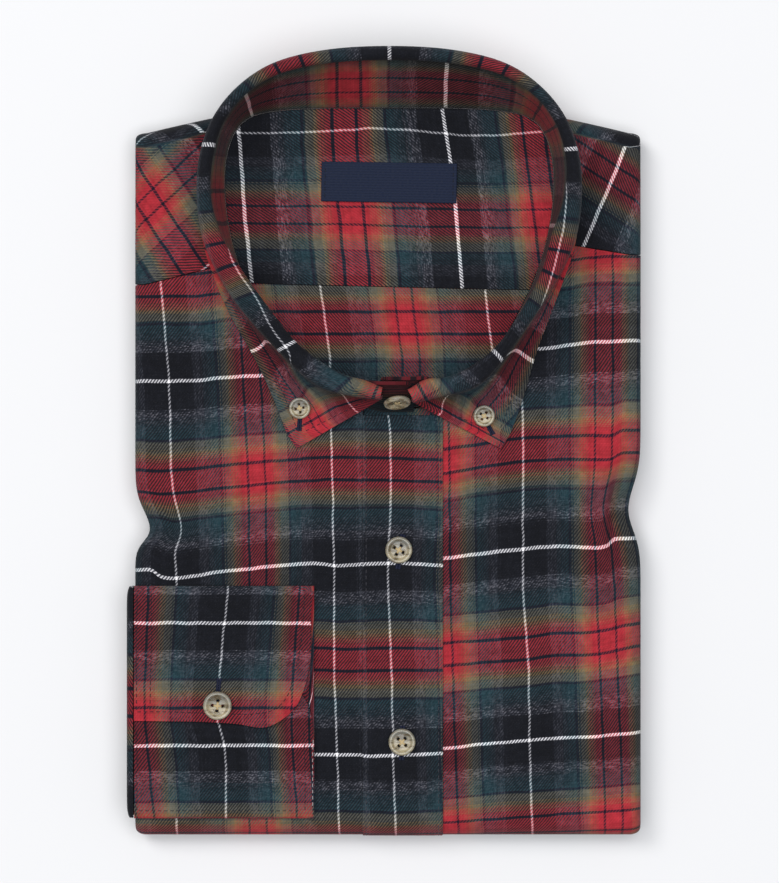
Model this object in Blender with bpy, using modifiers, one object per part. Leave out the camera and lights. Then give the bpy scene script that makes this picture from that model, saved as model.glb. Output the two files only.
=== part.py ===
"""A flannel shirt with a button-down collar, buttoned and folded for the shelf.

The packet is a flat fold of cloth. Its outer layer (fronts, placket, yoke) rolls over the sides and turns
under at both ends. Metres, +X to the wearer's left, +Y to the collar, +Z up, origin on the floor.
"""

import math
from collections import namedtuple

import bmesh
import bpy
from mathutils import Matrix, Vector

MM = 0.001

# ---- cloth ------------------------------------------------------------------
WALL = 1.2 * MM
BAND_WALL = 1.3 * MM
COLLAR_WALL = 1.6 * MM
CUFF_WALL = 1.4 * MM
LABEL_WALL = 1.0 * MM
SEAM_GAP = 0.3 * MM
LAYER_GAP = 0.4 * MM

# ---- folded packet ----------------------------------------------------------
MIDDLE_X = 1.8 * MM
HALF_WIDTH = 113.85 * MM
HALF_THICK = 12.0 * MM
LAYER_ZONE = 2.6 * MM          # half the height between the upper and lower side rolls
ROLL_REACH = 4.7 * MM          # width of a side roll
ROLL_END = 155.0               # degrees that the cloth goes round a side roll
BOTTOM_Y = -175.6 * MM
BOTTOM_REACH = 7.2 * MM        # depth in Y of the fold along the bottom
BACK_Y = 158.0 * MM
TOP_REACH = 6.0 * MM           # depth in Y of the fold along the top
SHOULDER_SLOPE = 19.0 * MM
SHOULDER_POWER = 1.5
SHOULDER_DROP = 3.0 * MM
SHOULDER_DROP_FROM = 85.0 * MM
SHOULDER_DROP_TO = 148.0 * MM
FRONT_HEM_Y = 95.0 * MM        # where the turned-up lower half ends underneath
YOKE_HEM_Y = 112.0 * MM
SLIT_DEPTH = 14.0 * MM
SLIT_HALF = 1.0 * MM           # half the height of the slit between the layers along the sides
# Edges of the hidden layers above the slit: distance in from the packet's side, height over its middle.
LAYER_EDGES = tuple((reach * MM, height * MM) for reach, height in (
    (5.6, 2.3), (2.4, 2.1), (1.9, 1.6), (2.4, 1.1)))

# ---- placket ----------------------------------------------------------------
PLACKET_LEFT = -9.6 * MM
PLACKET_RIGHT = 26.5 * MM
PLACKET_TOP = 12.6 * MM
FRONT_JOIN_X = -9.05 * MM
PLACKET_LIFT = SEAM_GAP + BAND_WALL

# ---- front yoke seam, a line that slopes on each side ------------------------
YOKE_SEAM_LEVEL = 80.0 * MM
YOKE_SEAM_LEFT = (70.0 * MM, 0.25)      # y at the packet's side, rise for each unit inwards
YOKE_SEAM_RIGHT = (83.8 * MM, 0.165)
SEAM_FADE_Y = 30.0 * MM

Pinch = namedtuple("Pinch", "side y depth above below")
PINCHES = (
    Pinch(-1, -39 * MM, 6.5 * MM, 12 * MM, 7 * MM),
    Pinch(+1, -30 * MM, 5.4 * MM, 15 * MM, 13 * MM),
)
PINCH_SPREAD = 26.0 * MM

# Largest folds of the front: centre, half length, half width, direction in degrees, height.
Fold = namedtuple("Fold", "x y along across turn height")
FOLDS = (
    Fold(-102 * MM, -37 * MM, 15 * MM, 5 * MM, 15, -2.4 * MM),
    Fold(-92 * MM, -47 * MM, 17 * MM, 6 * MM, -12, 0.9 * MM),
    Fold(105 * MM, -31 * MM, 20 * MM, 4.5 * MM, 88, -2.6 * MM),
    Fold(95 * MM, -33 * MM, 24 * MM, 7 * MM, 84, 0.8 * MM),
    Fold(-72 * MM, 22 * MM, 40 * MM, 13 * MM, 72, -0.8 * MM),
    Fold(78 * MM, 20 * MM, 42 * MM, 14 * MM, 104, -0.8 * MM),
    Fold(62 * MM, -78 * MM, 50 * MM, 15 * MM, 8, -0.7 * MM),
    Fold(80 * MM, -130 * MM, 34 * MM, 13 * MM, -14, 0.6 * MM),
)

# ---- collar -----------------------------------------------------------------
# One row for each section from the front (first) round to the back (last). x is measured from the
# collar's middle line. "neck" is the neck seam, "seam" joins stand and leaf, "roll" is the leaf's
# outermost line, "edge" its free edge. edge_z is the edge's height off the floor where it hangs free.
Section = namedtuple("Section", "neck_x neck_y seam_x seam_y seam_z roll_x roll_y edge_x edge_y edge_z")
COLLAR = tuple(Section(*(value * MM for value in row)) for row in (
    (7.35, 15.6, 7.35, 27.5, 45.5, 8.4, 19.6, 45.8, -2.3, 0),
    (16.9, 18.6, 15.6, 28.4, 46.5, 21.1, 21.1, 50.3, 4.8, 0),
    (29.4, 26.5, 26.7, 32.2, 47.5, 36.1, 25.6, 55.0, 17.2, 0),
    (47.2, 42.9, 42.1, 44.0, 49.0, 50.1, 39.3, 63.3, 39.0, 0),
    (60.6, 63.6, 57.0, 64.6, 50.5, 67.0, 60.6, 72.4, 58.6, 0),
    (66.9, 78.5, 66.6, 78.8, 51.5, 76.0, 75.4, 79.0, 75.2, 0),
    (71.1, 93.0, 74.2, 91.8, 52.0, 82.6, 90.4, 83.7, 90.4, 0),
    (73.7, 109.5, 78.9, 108.4, 52.0, 85.3, 107.6, 85.4, 107.8, 0),
    (73.5, 127.0, 78.3, 125.8, 51.0, 84.6, 126.0, 84.6, 126.6, 24.6),
    (69.3, 140.2, 73.6, 142.2, 49.0, 79.0, 143.6, 78.8, 144.4, 22.8),
    (61.4, 147.3, 63.6, 155.2, 46.5, 67.8, 158.4, 67.2, 159.6, 14.0),
    (47.8, 150.0, 48.7, 164.4, 44.5, 51.4, 169.4, 51.0, 170.8, 8.0),
    (26.6, 150.9, 26.7, 169.2, 43.5, 28.0, 175.3, 28.0, 176.5, 6.6),
    (0.0, 151.0, 0.0, 170.6, 43.0, 0.0, 177.0, 0.0, 178.0, 6.4),
))
# How far each section's leaf seam leans outwards on the wearer's left, where the roll is narrower.
LEFT_SEAM_LEAN = tuple(lean * MM for lean in (0, 1, 3, 4.5, 4.7, 1.8, -2.4, -1.5, 0, 0, 0, 0, 0))
SECTION_STEPS = 2
COLLAR_MIDDLE_X = 2.4 * MM
COLLAR_SKEW = 4.2 * MM         # how far the middle line swings right towards the front
SKEW_FROM = 70.0 * MM
SKEW_TO = 12.0 * MM
STAND_SEAT = 0.35 * MM
# Stand section: share of the lean from neck seam to leaf seam, and share of the rise.
STAND_SECTION = ((0.0, 0.0), (0.02, 0.09), (0.5, 0.46), (1.0, 0.9), (1.0, 1.0))
LAP_X = (3.6 * MM, 0.0, -3.6 * MM, -6.6 * MM)   # how far the stand's ends run past the middle line
LAP_SHIFT = 2.1 * MM
LAP_BLEND = (19.0 * MM, 11.0 * MM)
LAP_FRONT_Y = 60.0 * MM        # only the stand's front ends lap
LAP_END_DROP = 5.0 * MM
LEAF_REST = 0.55 * MM
# Leaf section: share of the way from seam to roll, and height above the seam.
LEAF_RISE = ((0.0, SEAM_GAP), (0.0, 1.5 * MM), (0.16, 3.2 * MM), (0.5, 4.1 * MM), (0.9, 2.3 * MM),
             (1.0, -1.2 * MM))
# Leaf section: share of the way from roll to edge, and share of the drop.
LEAF_FALL = ((0.07, 0.40), (0.20, 0.76), (0.40, 0.95), (1.0, 1.0))

# ---- inside the neck ----------------------------------------------------------
NECK_CENTRE = (3.0 * MM, 86.0 * MM)
FLOOR_Z = 15.2 * MM
RIM_BELOW = 1.7 * MM
FRONT_RIM_DROP = 4.2 * MM      # the back panel stays low where it runs under the fronts
FRONT_RIM_FROM = 84.0 * MM
FRONT_RIM_TO = 48.0 * MM
RIM_START = 0.66
RIM_POWER = 1.6
NECK_INSET = 1.3 * MM
NECK_CUT_FROM = 15.0 * MM
NECK_CUT_TO = 70.0 * MM
WELL_CLEARANCE = 1.3 * MM
DISH_RINGS = (0.36, RIM_START, 0.8, 0.91, 1.0)
LINING_SEAM = (70.6 * MM, -0.024)       # y at the middle line, slope
SEAM_CUTTER_HALF = 100.0 * MM
LABEL_CENTRE = (2.3 * MM, 117.7 * MM)
LABEL_SIZE = (61.0 * MM, 18.0 * MM)
LABEL_TURN = -0.9

# ---- cuff and sleeve end ------------------------------------------------------
CUFF_LEFT = -112.1 * MM
CUFF_RIGHT = -31.4 * MM
CUFF_COLUMNS = (0.0, 0.2, 0.4, 0.6, 0.78, 0.88, 0.95, 1.0)
CUFF_LAP_Y = -128.5 * MM
CUFF_LAP_CORNER = 27.0 * MM
CUFF_LAP_CORNER_WIDTH = 15.0 * MM
CUFF_UNDER_Y = -112.0 * MM
CUFF_UNDER_CORNER = 22.0 * MM
CUFF_UNDER_CORNER_WIDTH = 8.0 * MM
# Cuff section from the outer end over the top fold, underneath, and back up inside: y and height over
# the front. The first and last rows are the two ends, whose y the two values above give.
CUFF_SECTION = tuple((y * MM, height * MM) for y, height in (
    (0, 5.6), (-112, 5.5), (-98, 5.0), (-84, 4.5), (-71, 4.1), (-66.2, 3.6), (-64.0, 2.1), (-66.2, 0.7),
    (-71, 0.4), (-92, 0.4), (-115, 0.4), (-140, 0.4), (-162, 0.4), (-166.6, 0.7), (-168.4, 2.1),
    (-166.6, 3.5), (-161, 3.9), (-145, 3.8), (-134, 3.75), (0, 3.7)))

SLEEVE_TOP = -64.4 * MM
SLEEVE_BOTTOM = -168.0 * MM
SLEEVE_WALL = 2.0 * MM
SLEEVE_SLIT_SHARE = 0.66
# Sleeve section from the cuff over the side roll into the packet's side slit: x, z.
SLEEVE_SECTION = tuple((x * MM, z * MM) for x, z in (
    (-112.6, 28.8), (-113.6, 28.7), (-114.9, 27.4), (-115.55, 24.4), (-115.6, 19.8), (-115.0, 15.4),
    (-112.9, 12.3), (-109.4, 11.35), (-103.6, 11.35)))
SLEEVE_THIN_FROM = 4.4         # point of the section where the wall starts to thin, and where it ends
SLEEVE_THIN_TO = 5.8
SLEEVE_STEPS = 2
SLEEVE_ROWS = (0, 0.06, 0.3, 0.55, 0.8, 0.94, 1)
SLEEVE_TUCK = 1.2 * MM         # how far the sleeve's two long edges are drawn in

# ---- buttons ------------------------------------------------------------------
FRONT_BUTTON = 12.15 * MM
COLLAR_BUTTON = 9.6 * MM
CUFF_BUTTON = 12.9 * MM
BUTTON_THICK = 0.22            # of the diameter
BUTTON_HOLE_RADIUS = 0.062
BUTTON_HOLE_OFFSET = 0.172
BUTTON_SIDES = 12
HOLE_SIDES = 6
# Turned profile from the middle of the face to the middle of the back: share of radius, of thickness.
BUTTON_PROFILE = ((0, 0.62), (0.62, 0.62), (0.76, 1.0), (0.92, 0.9), (1.0, 0.5), (0.86, 0), (0, 0))
FRONT_BUTTONS = ((6.7 * MM, -47.9 * MM), (8.1 * MM, -134.1 * MM))
COLLAR_BUTTONS = (("button_collar_right", -37.7 * MM, 15.8 * MM),
                  ("button_collar_left", 44.9 * MM, 12.3 * MM))
NECK_BUTTON_PLACE = (5.8 * MM, 19.4 * MM, 37.2 * MM)
NECK_BUTTON_FACES = (0.11, -0.92, 0.37)       # it hangs a little forward of the stand
CUFF_BUTTON_PLACE = (-74.8 * MM, -117.2 * MM)
CUFF_BUTTON_FACES = (0.10, -0.12, 1)
CUFF_BUTTON_SHANK = 1.2 * MM
BUTTON_LIE = 0.5 * MM

# ---- colours ------------------------------------------------------------------
FLANNEL_RED = (0.42, 0.032, 0.04, 1)
FLANNEL_BLACK = (0.022, 0.025, 0.032, 1)
FLANNEL_TEAL = (0.03, 0.075, 0.085, 1)
LABEL_NAVY = (0.012, 0.02, 0.06, 1)
HORN = (0.27, 0.19, 0.13, 1)

PARTS = bpy.data.collections.new("folded_flannel_shirt")
CUTTERS = bpy.data.collections.new("cutters")


def clear_scene():
    for old in list(bpy.data.objects):
        bpy.data.objects.remove(old, do_unlink=True)
    for collection in (PARTS, CUTTERS):
        bpy.context.scene.collection.children.link(collection)


def smooth(value, start, end):
    """0 at start, 1 at end, with soft ends."""
    share = min(max((value - start) / (end - start), 0.0), 1.0)
    return share * share * (3 - 2 * share)


def mix(start, end, share):
    return start + (end - start) * share


def material(name, colour, roughness=0.9, metallic=0.0):
    made = bpy.data.materials.new(name)
    made.use_nodes = True
    shader = made.node_tree.nodes["Principled BSDF"]
    shader.inputs["Base Color"].default_value = colour
    shader.inputs["Roughness"].default_value = roughness
    shader.inputs["Metallic"].default_value = metallic
    return made


def mesh_object(name, points, faces, collection=PARTS):
    mesh = bpy.data.meshes.new(name)
    mesh.from_pydata([tuple(point) for point in points], [], faces)
    made = bpy.data.objects.new(name, mesh)
    collection.objects.link(made)
    return made


def grid_faces(row_count, column_count, closed_rows=False, flip=False):
    """Quads of a grid of points stored row by row."""
    faces = []
    for row in range(row_count if closed_rows else row_count - 1):
        below = (row + 1) % row_count
        for column in range(column_count - 1):
            face = (row * column_count + column, below * column_count + column,
                    below * column_count + column + 1, row * column_count + column + 1)
            faces.append(tuple(reversed(face)) if flip else face)
    return faces


def sheet(name, rows, wall, colour, outwards=False, flip=False):
    """A cloth wall on a grid of points; the grid is its show face unless it grows outwards."""
    points = [point for row in rows for point in row]
    made = mesh_object(name, points, grid_faces(len(rows), len(rows[0]), flip=flip))
    made.data.shade_smooth()
    made.data.materials.append(material(name, colour))
    solidify = made.modifiers.new("wall", 'SOLIDIFY')
    solidify.thickness = wall
    solidify.offset = 1.0 if outwards else -1.0
    solidify.use_quality_normals = True
    return made


def cut(target, cutter, operation='DIFFERENCE'):
    boolean = target.modifiers.new("cut", 'BOOLEAN')
    boolean.operation = operation
    boolean.object = cutter


def as_cutter(made):
    made.hide_render = True
    made.display_type = 'WIRE'
    return made


# ---- the packet's surface ------------------------------------------------------
# A column runs across the packet: on the flat at x, round a side roll at an angle, or at an edge of
# the hidden layers. A row runs along it: front, yoke, the two turns and the underside.
Column = namedtuple("Column", "kind side value height")
Row = namedtuple("Row", "zone value")


def flat(x):
    return Column("flat", 0, x, 0.0)


def roll(side, angle):
    return Column("roll", side, angle, 0.0)


def layer(side, reach, height):
    return Column("layer", side, reach, height)


def pinch_depth(side, y):
    """How far the packet's side is drawn in at y."""
    total = 0.0
    for pinch in PINCHES:
        if pinch.side == side:
            reach = pinch.above if y > pinch.y else pinch.below
            total += pinch.depth * math.exp(-((y - pinch.y) / reach) ** 2)
    return total


def fold_height(x, y):
    total = 0.0
    for fold in FOLDS:
        turn = math.radians(fold.turn)
        along = (x - fold.x) * math.cos(turn) + (y - fold.y) * math.sin(turn)
        across = (y - fold.y) * math.cos(turn) - (x - fold.x) * math.sin(turn)
        total += fold.height * math.exp(-(along / fold.along) ** 2 - (across / fold.across) ** 2)
    return total


def top_height(x, y):
    """Height of the show face over the packet's middle plane."""
    return HALF_THICK + fold_height(x, y) - SHOULDER_DROP * smooth(y, SHOULDER_DROP_FROM, SHOULDER_DROP_TO)


def under_height(x):
    """Depth of the underside, drawn in where the placket runs under it."""
    left = smooth(x, PLACKET_LEFT - 2.0 * MM, PLACKET_LEFT - 0.3 * MM)
    right = smooth(x, PLACKET_RIGHT + 2.4 * MM, PLACKET_RIGHT + 0.5 * MM)
    return HALF_THICK - PLACKET_LIFT * min(left, right)


def top_fold_y(x):
    """Outermost line of the fold along the shoulders and the back of the neck."""
    share = min(abs(x - MIDDLE_X) / HALF_WIDTH, 1.0)
    return BACK_Y - SHOULDER_SLOPE * share ** SHOULDER_POWER


def yoke_seam_y(x):
    side_y, rise = YOKE_SEAM_LEFT if x < MIDDLE_X else YOKE_SEAM_RIGHT
    return side_y + rise * (HALF_WIDTH - abs(x - MIDDLE_X))


def row_y(row, x):
    turn_start = top_fold_y(x) - TOP_REACH
    if row.zone == "front":
        follow = smooth(row.value, SEAM_FADE_Y, YOKE_SEAM_LEVEL)
        return row.value + follow * (yoke_seam_y(x) - YOKE_SEAM_LEVEL)
    if row.zone == "yoke":
        return mix(yoke_seam_y(x), turn_start, row.value)
    if row.zone == "under_yoke":
        return mix(YOKE_HEM_Y, turn_start, row.value)
    if row.zone == "under":
        return row.value
    return turn_start if row.zone == "top_turn" else BOTTOM_Y + BOTTOM_REACH


def packet_point(column, row, outset=0.0):
    """A point of the packet's surface, moved out along its normal."""
    edge = MIDDLE_X + column.side * HALF_WIDTH
    rest_x = column.value if column.kind == "flat" else edge - column.side * ROLL_REACH
    y = row_y(row, rest_x)
    for side in (-1, 1):
        distance = abs(MIDDLE_X + side * (HALF_WIDTH - ROLL_REACH) - rest_x)
        if distance < PINCH_SPREAD:
            rest_x -= side * pinch_depth(side, y) * (1 - smooth(distance, 0, PINCH_SPREAD))
    full_up, full_down = top_height(rest_x, y), under_height(rest_x)
    outward = outset
    if column.kind == "flat":
        x, up, down, level = rest_x, full_up, full_down, HALF_THICK
    elif column.kind == "roll":
        angle = math.radians(column.value)
        x = rest_x + column.side * (ROLL_REACH + outset) * math.sin(angle)
        outward = outset * math.cos(angle)
        up, down, level = (mix(LAYER_ZONE, full, (1 + math.cos(angle)) / 2)
                           for full in (full_up, full_down, HALF_THICK))
    else:
        drawn = pinch_depth(column.side, y) if column.value < SLIT_DEPTH else 0.0
        x = edge - column.side * (column.value + drawn)
        up = down = level = column.height
        outward = 0.0
    if row.zone in ("front", "yoke"):
        return Vector((x, y, HALF_THICK + up + outward))
    if row.zone in ("under", "under_yoke"):
        return Vector((x, y, HALF_THICK - down - outward))
    angle = math.radians(row.value)
    reach, direction = (BOTTOM_REACH, -1) if row.zone == "bottom_turn" else (TOP_REACH, 1)
    rise = (up if row.value < 90 else down) + outward
    y += direction * (reach * level / HALF_THICK + outward) * math.sin(angle)
    return Vector((x, y, HALF_THICK + rise * math.cos(angle)))


def show_z(x, y):
    """Height off the floor of the show face at x, y."""
    past = (y - (top_fold_y(x) - TOP_REACH)) / TOP_REACH
    return HALF_THICK + top_height(x, y) * math.sqrt(1 - min(max(past, 0.0), 1.0) ** 2)


LEFT_FLATS = tuple(flat(x * MM) for x in (-102.5, -96.5, -87, -72, -56, -40, -24))
PLACKET_FLATS = tuple(flat(x * MM) for x in (2.5, 14.5))
RIGHT_FLATS = tuple(flat(x * MM) for x in (42, 57, 72, 86, 96, 102.5, 107))
ROLL_ANGLES = (ROLL_END, 122, 90, 58, 28, 0)
LEFT_ROLL = tuple(roll(-1, angle) for angle in ROLL_ANGLES)
RIGHT_ROLL = tuple(roll(1, angle) for angle in reversed(ROLL_ANGLES))
FRONT_ROWS = tuple(Row("front", y * MM) for y in (
    80, 64, 48, 32, 16, 2, -12, -22, -30, -38, -45, -54, -70, -92, -116, -140, -160))
TURN_ANGLES = (0, 30, 60, 90, 120, 150, 180)
BOTTOM_ROWS = tuple(Row("bottom_turn", angle) for angle in TURN_ANGLES)
UNDER_ROWS = tuple(Row("under", y * MM) for y in (-130, -58, -45, -37, -26, 20))
HEM_ROW = (Row("under", FRONT_HEM_Y),)
YOKE_ROWS = tuple(Row("yoke", share) for share in (0, 0.2, 0.4, 0.6, 0.8))
TOP_ROWS = tuple(Row("top_turn", angle) for angle in TURN_ANGLES)
YOKE_HEM_ROWS = (Row("under_yoke", 0.0),)


def packet_sheet(name, columns, rows, colour, outset=0.0, wall=WALL):
    return sheet(name, [[packet_point(column, row, outset) for column in columns] for row in rows],
                 wall, colour)


def make_fronts(neck_cutter):
    rows = FRONT_ROWS + BOTTOM_ROWS + UNDER_ROWS + HEM_ROW
    half_gap = SEAM_GAP / 2
    left_join = (flat(-12.4 * MM), flat(PLACKET_LEFT - 0.2 * MM), flat(FRONT_JOIN_X - half_gap))
    right_join = (flat(FRONT_JOIN_X + half_gap),) + PLACKET_FLATS
    right_step = (flat(PLACKET_RIGHT + 0.4 * MM), flat(PLACKET_RIGHT + 2.6 * MM))
    front_right = packet_sheet("front_right", LEFT_ROLL + LEFT_FLATS + left_join, rows, FLANNEL_BLACK)
    front_left = packet_sheet("front_left", right_join + right_step + RIGHT_FLATS + RIGHT_ROLL, rows,
                              FLANNEL_BLACK)
    for front in (front_right, front_left):
        cut(front, neck_cutter)


def make_yoke(neck_cutter):
    """Outer yoke: the shoulders, the fold along the top and its turn underneath."""
    columns = LEFT_ROLL + LEFT_FLATS + (flat(FRONT_JOIN_X),) + PLACKET_FLATS
    columns += (flat(PLACKET_RIGHT),) + RIGHT_FLATS + RIGHT_ROLL
    rows = YOKE_HEM_ROWS + tuple(reversed(TOP_ROWS)) + tuple(reversed(YOKE_ROWS))
    grid = []
    for row in rows:
        line = [packet_point(column, row) for column in columns]
        if row == YOKE_ROWS[0]:
            line = [point + Vector((0, SEAM_GAP, 0)) for point in line]
        grid.append(line)
    yoke = sheet("yoke", grid, WALL, FLANNEL_RED)
    cut(yoke, neck_cutter)


def make_placket():
    """Front band, over the join of the fronts and on under the packet."""
    rows = FRONT_ROWS[FRONT_ROWS.index(Row("front", 16 * MM)):] + BOTTOM_ROWS + UNDER_ROWS + HEM_ROW
    columns = (flat(PLACKET_LEFT),) + PLACKET_FLATS + (flat(PLACKET_RIGHT),)
    grid = [[packet_point(column, row, PLACKET_LIFT) for column in columns] for row in rows]
    for point in grid[0]:
        point.y = PLACKET_TOP
    sheet("placket", grid, BAND_WALL, FLANNEL_TEAL)


def make_folded_layers(well_cutter):
    """The hidden layers: one rounded solid, with two layer edges and a slit along its sides."""
    left_layers = tuple(layer(-1, *edge) for edge in reversed(LAYER_EDGES))
    right_layers = tuple(layer(1, *edge) for edge in LAYER_EDGES)
    columns = (layer(-1, SLIT_DEPTH, SLIT_HALF),) + left_layers + LEFT_ROLL + LEFT_FLATS
    columns += (flat(FRONT_JOIN_X),) + PLACKET_FLATS + (flat(PLACKET_RIGHT),) + RIGHT_FLATS
    columns += RIGHT_ROLL + right_layers + (layer(1, SLIT_DEPTH, SLIT_HALF),)
    top_turn = tuple(reversed(TOP_ROWS))
    rows = FRONT_ROWS + BOTTOM_ROWS + UNDER_ROWS + HEM_ROW + YOKE_HEM_ROWS + top_turn
    rows += tuple(reversed(YOKE_ROWS[1:]))
    inset = -(WALL + LAYER_GAP)
    points = [packet_point(column, row, inset) for row in rows for column in columns]
    count = len(columns)
    faces = grid_faces(len(rows), count, closed_rows=True)
    faces.append(tuple(reversed([row * count for row in range(len(rows))])))
    faces.append(tuple(row * count + count - 1 for row in range(len(rows))))
    core = mesh_object("folded_layers", points, faces)
    core.data.shade_smooth()
    core.data.materials.append(material("folded_layers", FLANNEL_BLACK))
    cut(core, well_cutter)


# ---- collar ---------------------------------------------------------------------
def spline(values, position):
    """Smooth curve through equally spaced values, read at a fractional index."""
    last = len(values) - 1
    index = min(int(position), last - 1)
    share = position - index
    before, start = values[max(index - 1, 0)], values[index]
    end, after = values[index + 1], values[min(index + 2, last)]
    return start + share * ((end - before) / 2 + share * (
        before - 2.5 * start + 2 * end - after / 2 + share * (
            1.5 * (start - end) + (after - before) / 2)))


def mirrored(section):
    """The same section on the wearer's right, where x is negative."""
    return Section(*(-value if field.endswith("_x") else value
                     for field, value in section._asdict().items()))


def collar_sections():
    """Sections from the wearer's right front round the back to the left front."""
    left = [section._replace(seam_x=section.seam_x + lean)
            for section, lean in zip(COLLAR[:-1], LEFT_SEAM_LEAN)]
    given = [mirrored(section) for section in COLLAR] + list(reversed(left))
    columns = list(zip(*given))
    steps = (len(given) - 1) * SECTION_STEPS
    return [Section(*(spline(column, step / SECTION_STEPS) for column in columns))
            for step in range(steps + 1)]


def collar_x(x, y):
    return COLLAR_MIDDLE_X + COLLAR_SKEW * (1 - smooth(y, SKEW_TO, SKEW_FROM)) + x


def lap_shift(x, y):
    """The wearer's left end of the stand passes inside the right end."""
    return LAP_SHIFT * smooth(x, *LAP_BLEND) if x > 0 and y < LAP_FRONT_Y else 0.0


def neck_line(inset=0.0):
    """The neck seam as a closed line of x, y, from the wearer's right front round the back."""
    sections = collar_sections()
    line = []
    for section in sections + [sections[0]._replace(neck_x=0.0)]:
        x = collar_x(section.neck_x, section.neck_y)
        from_centre = Vector((x - NECK_CENTRE[0], section.neck_y - NECK_CENTRE[1]))
        from_centre *= 1 - inset / from_centre.length
        line.append((NECK_CENTRE[0] + from_centre.x, NECK_CENTRE[1] + from_centre.y))
    return line


def make_collar_stand():
    front = COLLAR[0]
    over_end = [(0.0, front._replace(neck_x=-x, seam_x=-x)) for x in reversed(LAP_X)]
    under_end = [(LAP_SHIFT, front._replace(neck_x=x, seam_x=x)) for x in LAP_X]
    round_neck = [(lap_shift(section.seam_x, section.seam_y), section) for section in collar_sections()]
    rows = []
    for lean, rise in STAND_SECTION:
        line = []
        for shift, section in over_end + round_neck + under_end:
            foot = Vector((collar_x(section.neck_x, section.neck_y), section.neck_y + shift, 0))
            foot.z = show_z(foot.x, foot.y) + STAND_SEAT
            if PLACKET_LEFT < foot.x < PLACKET_RIGHT + 1 * MM:
                foot.z += 0.1 * MM
            head = Vector((collar_x(section.seam_x, section.seam_y), section.seam_y + shift, section.seam_z))
            if abs(section.seam_x) == -LAP_X[-1]:
                head.z -= LAP_END_DROP
            line.append(Vector((mix(foot.x, head.x, lean), mix(foot.y, head.y, lean),
                                mix(foot.z, head.z, rise))))
        rows.append(line)
    sheet("collar_stand", rows, COLLAR_WALL, FLANNEL_RED, outwards=True)


def leaf_line(section):
    """One section of the leaf, from its seam over the roll to its free edge."""
    seam = Vector((collar_x(section.seam_x, section.seam_y), section.seam_y, section.seam_z))
    seam.y += lap_shift(section.seam_x, section.seam_y)
    outermost = Vector((collar_x(section.roll_x, section.roll_y), section.roll_y, section.seam_z))
    edge = Vector((collar_x(section.edge_x, section.edge_y), section.edge_y, section.edge_z))
    rest = show_z(edge.x, edge.y) + LEAF_REST + COLLAR_WALL
    edge.z = max(edge.z, rest) if edge.y < top_fold_y(edge.x) else edge.z
    line = []
    for share, rise in LEAF_RISE:
        point = seam.lerp(outermost, share)
        point.z += rise
        line.append(point)
    start = line[-1]
    for share, drop in LEAF_FALL:
        point = start.lerp(edge, share)
        point.z = mix(start.z, edge.z, drop)
        line.append(point)
    return line


def make_collar_leaf():
    lines = [leaf_line(section) for section in collar_sections()]
    rows = [list(row) for row in zip(*lines)]
    sheet("collar_leaf", rows, COLLAR_WALL, FLANNEL_RED, flip=True)
    return rows


# ---- inside the neck --------------------------------------------------------------
def dish_z(share, rim):
    rise = max(share - RIM_START, 0.0) / (1 - RIM_START)
    return mix(FLOOR_Z, rim, rise ** RIM_POWER)


def dish_rings(inset, every=1):
    """Rings of the hollow inside the neck, from near its middle to the neck seam."""
    rings = []
    for share in DISH_RINGS:
        ring = []
        for x, y in neck_line(inset)[::every]:
            rim = show_z(x, y) - RIM_BELOW - FRONT_RIM_DROP * smooth(y, FRONT_RIM_FROM, FRONT_RIM_TO)
            ring.append(Vector((mix(NECK_CENTRE[0], x, share), mix(NECK_CENTRE[1], y, share),
                                dish_z(share, rim))))
        rings.append(ring)
    return rings


def ring_faces(ring_count, station_count):
    """A fan round the middle point, which comes first, then quads between the rings."""
    faces = []
    for station in range(station_count):
        beside = (station + 1) % station_count
        faces.append((0, 1 + beside, 1 + station))
        for ring in range(ring_count - 1):
            inner, outer = 1 + ring * station_count, 1 + (ring + 1) * station_count
            faces.append((inner + station, inner + beside, outer + beside, outer + station))
    return faces


def dish_sheet(name, colour):
    rings = dish_rings(NECK_INSET, every=2)
    points = [Vector((NECK_CENTRE[0], NECK_CENTRE[1], FLOOR_Z))] + [p for ring in rings for p in ring]
    made = mesh_object(name, points, ring_faces(len(rings), len(rings[0])))
    made.data.shade_smooth()
    made.data.materials.append(material(name, colour))
    solidify = made.modifiers.new("wall", 'SOLIDIFY')
    solidify.thickness = WALL
    solidify.offset = -1.0
    return made


def make_inside():
    """Yoke lining behind the seam across the neck, back panel in front of it."""
    level, slope = LINING_SEAM
    for name, colour, away in (("yoke_lining", FLANNEL_RED, -1), ("back_panel", FLANNEL_TEAL, 1)):
        piece = dish_sheet(name, colour)
        bpy.ops.mesh.primitive_cube_add(size=2 * SEAM_CUTTER_HALF)
        block = as_cutter(bpy.context.object)
        block.name = name + "_cutter"
        for collection in list(block.users_collection):
            collection.objects.unlink(block)
        CUTTERS.objects.link(block)
        block.location = (NECK_CENTRE[0], level + away * (SEAM_CUTTER_HALF - SEAM_GAP / 2), 0)
        block.rotation_euler.z = math.atan(slope)
        cut(piece, block)


def make_label():
    """A woven label, laid on the lining's flat part."""
    half_width, half_height = (size / 2 for size in LABEL_SIZE)
    turn = Matrix.Rotation(math.radians(LABEL_TURN), 3, 'Z')
    centre = Vector((*LABEL_CENTRE, FLOOR_Z + SEAM_GAP + LABEL_WALL))
    rows = [[centre + turn @ Vector((x * half_width, y * half_height, 0)) for x in (-1, 0, 1)]
            for y in (1, -1)]
    sheet("label", rows, LABEL_WALL, LABEL_NAVY)


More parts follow.
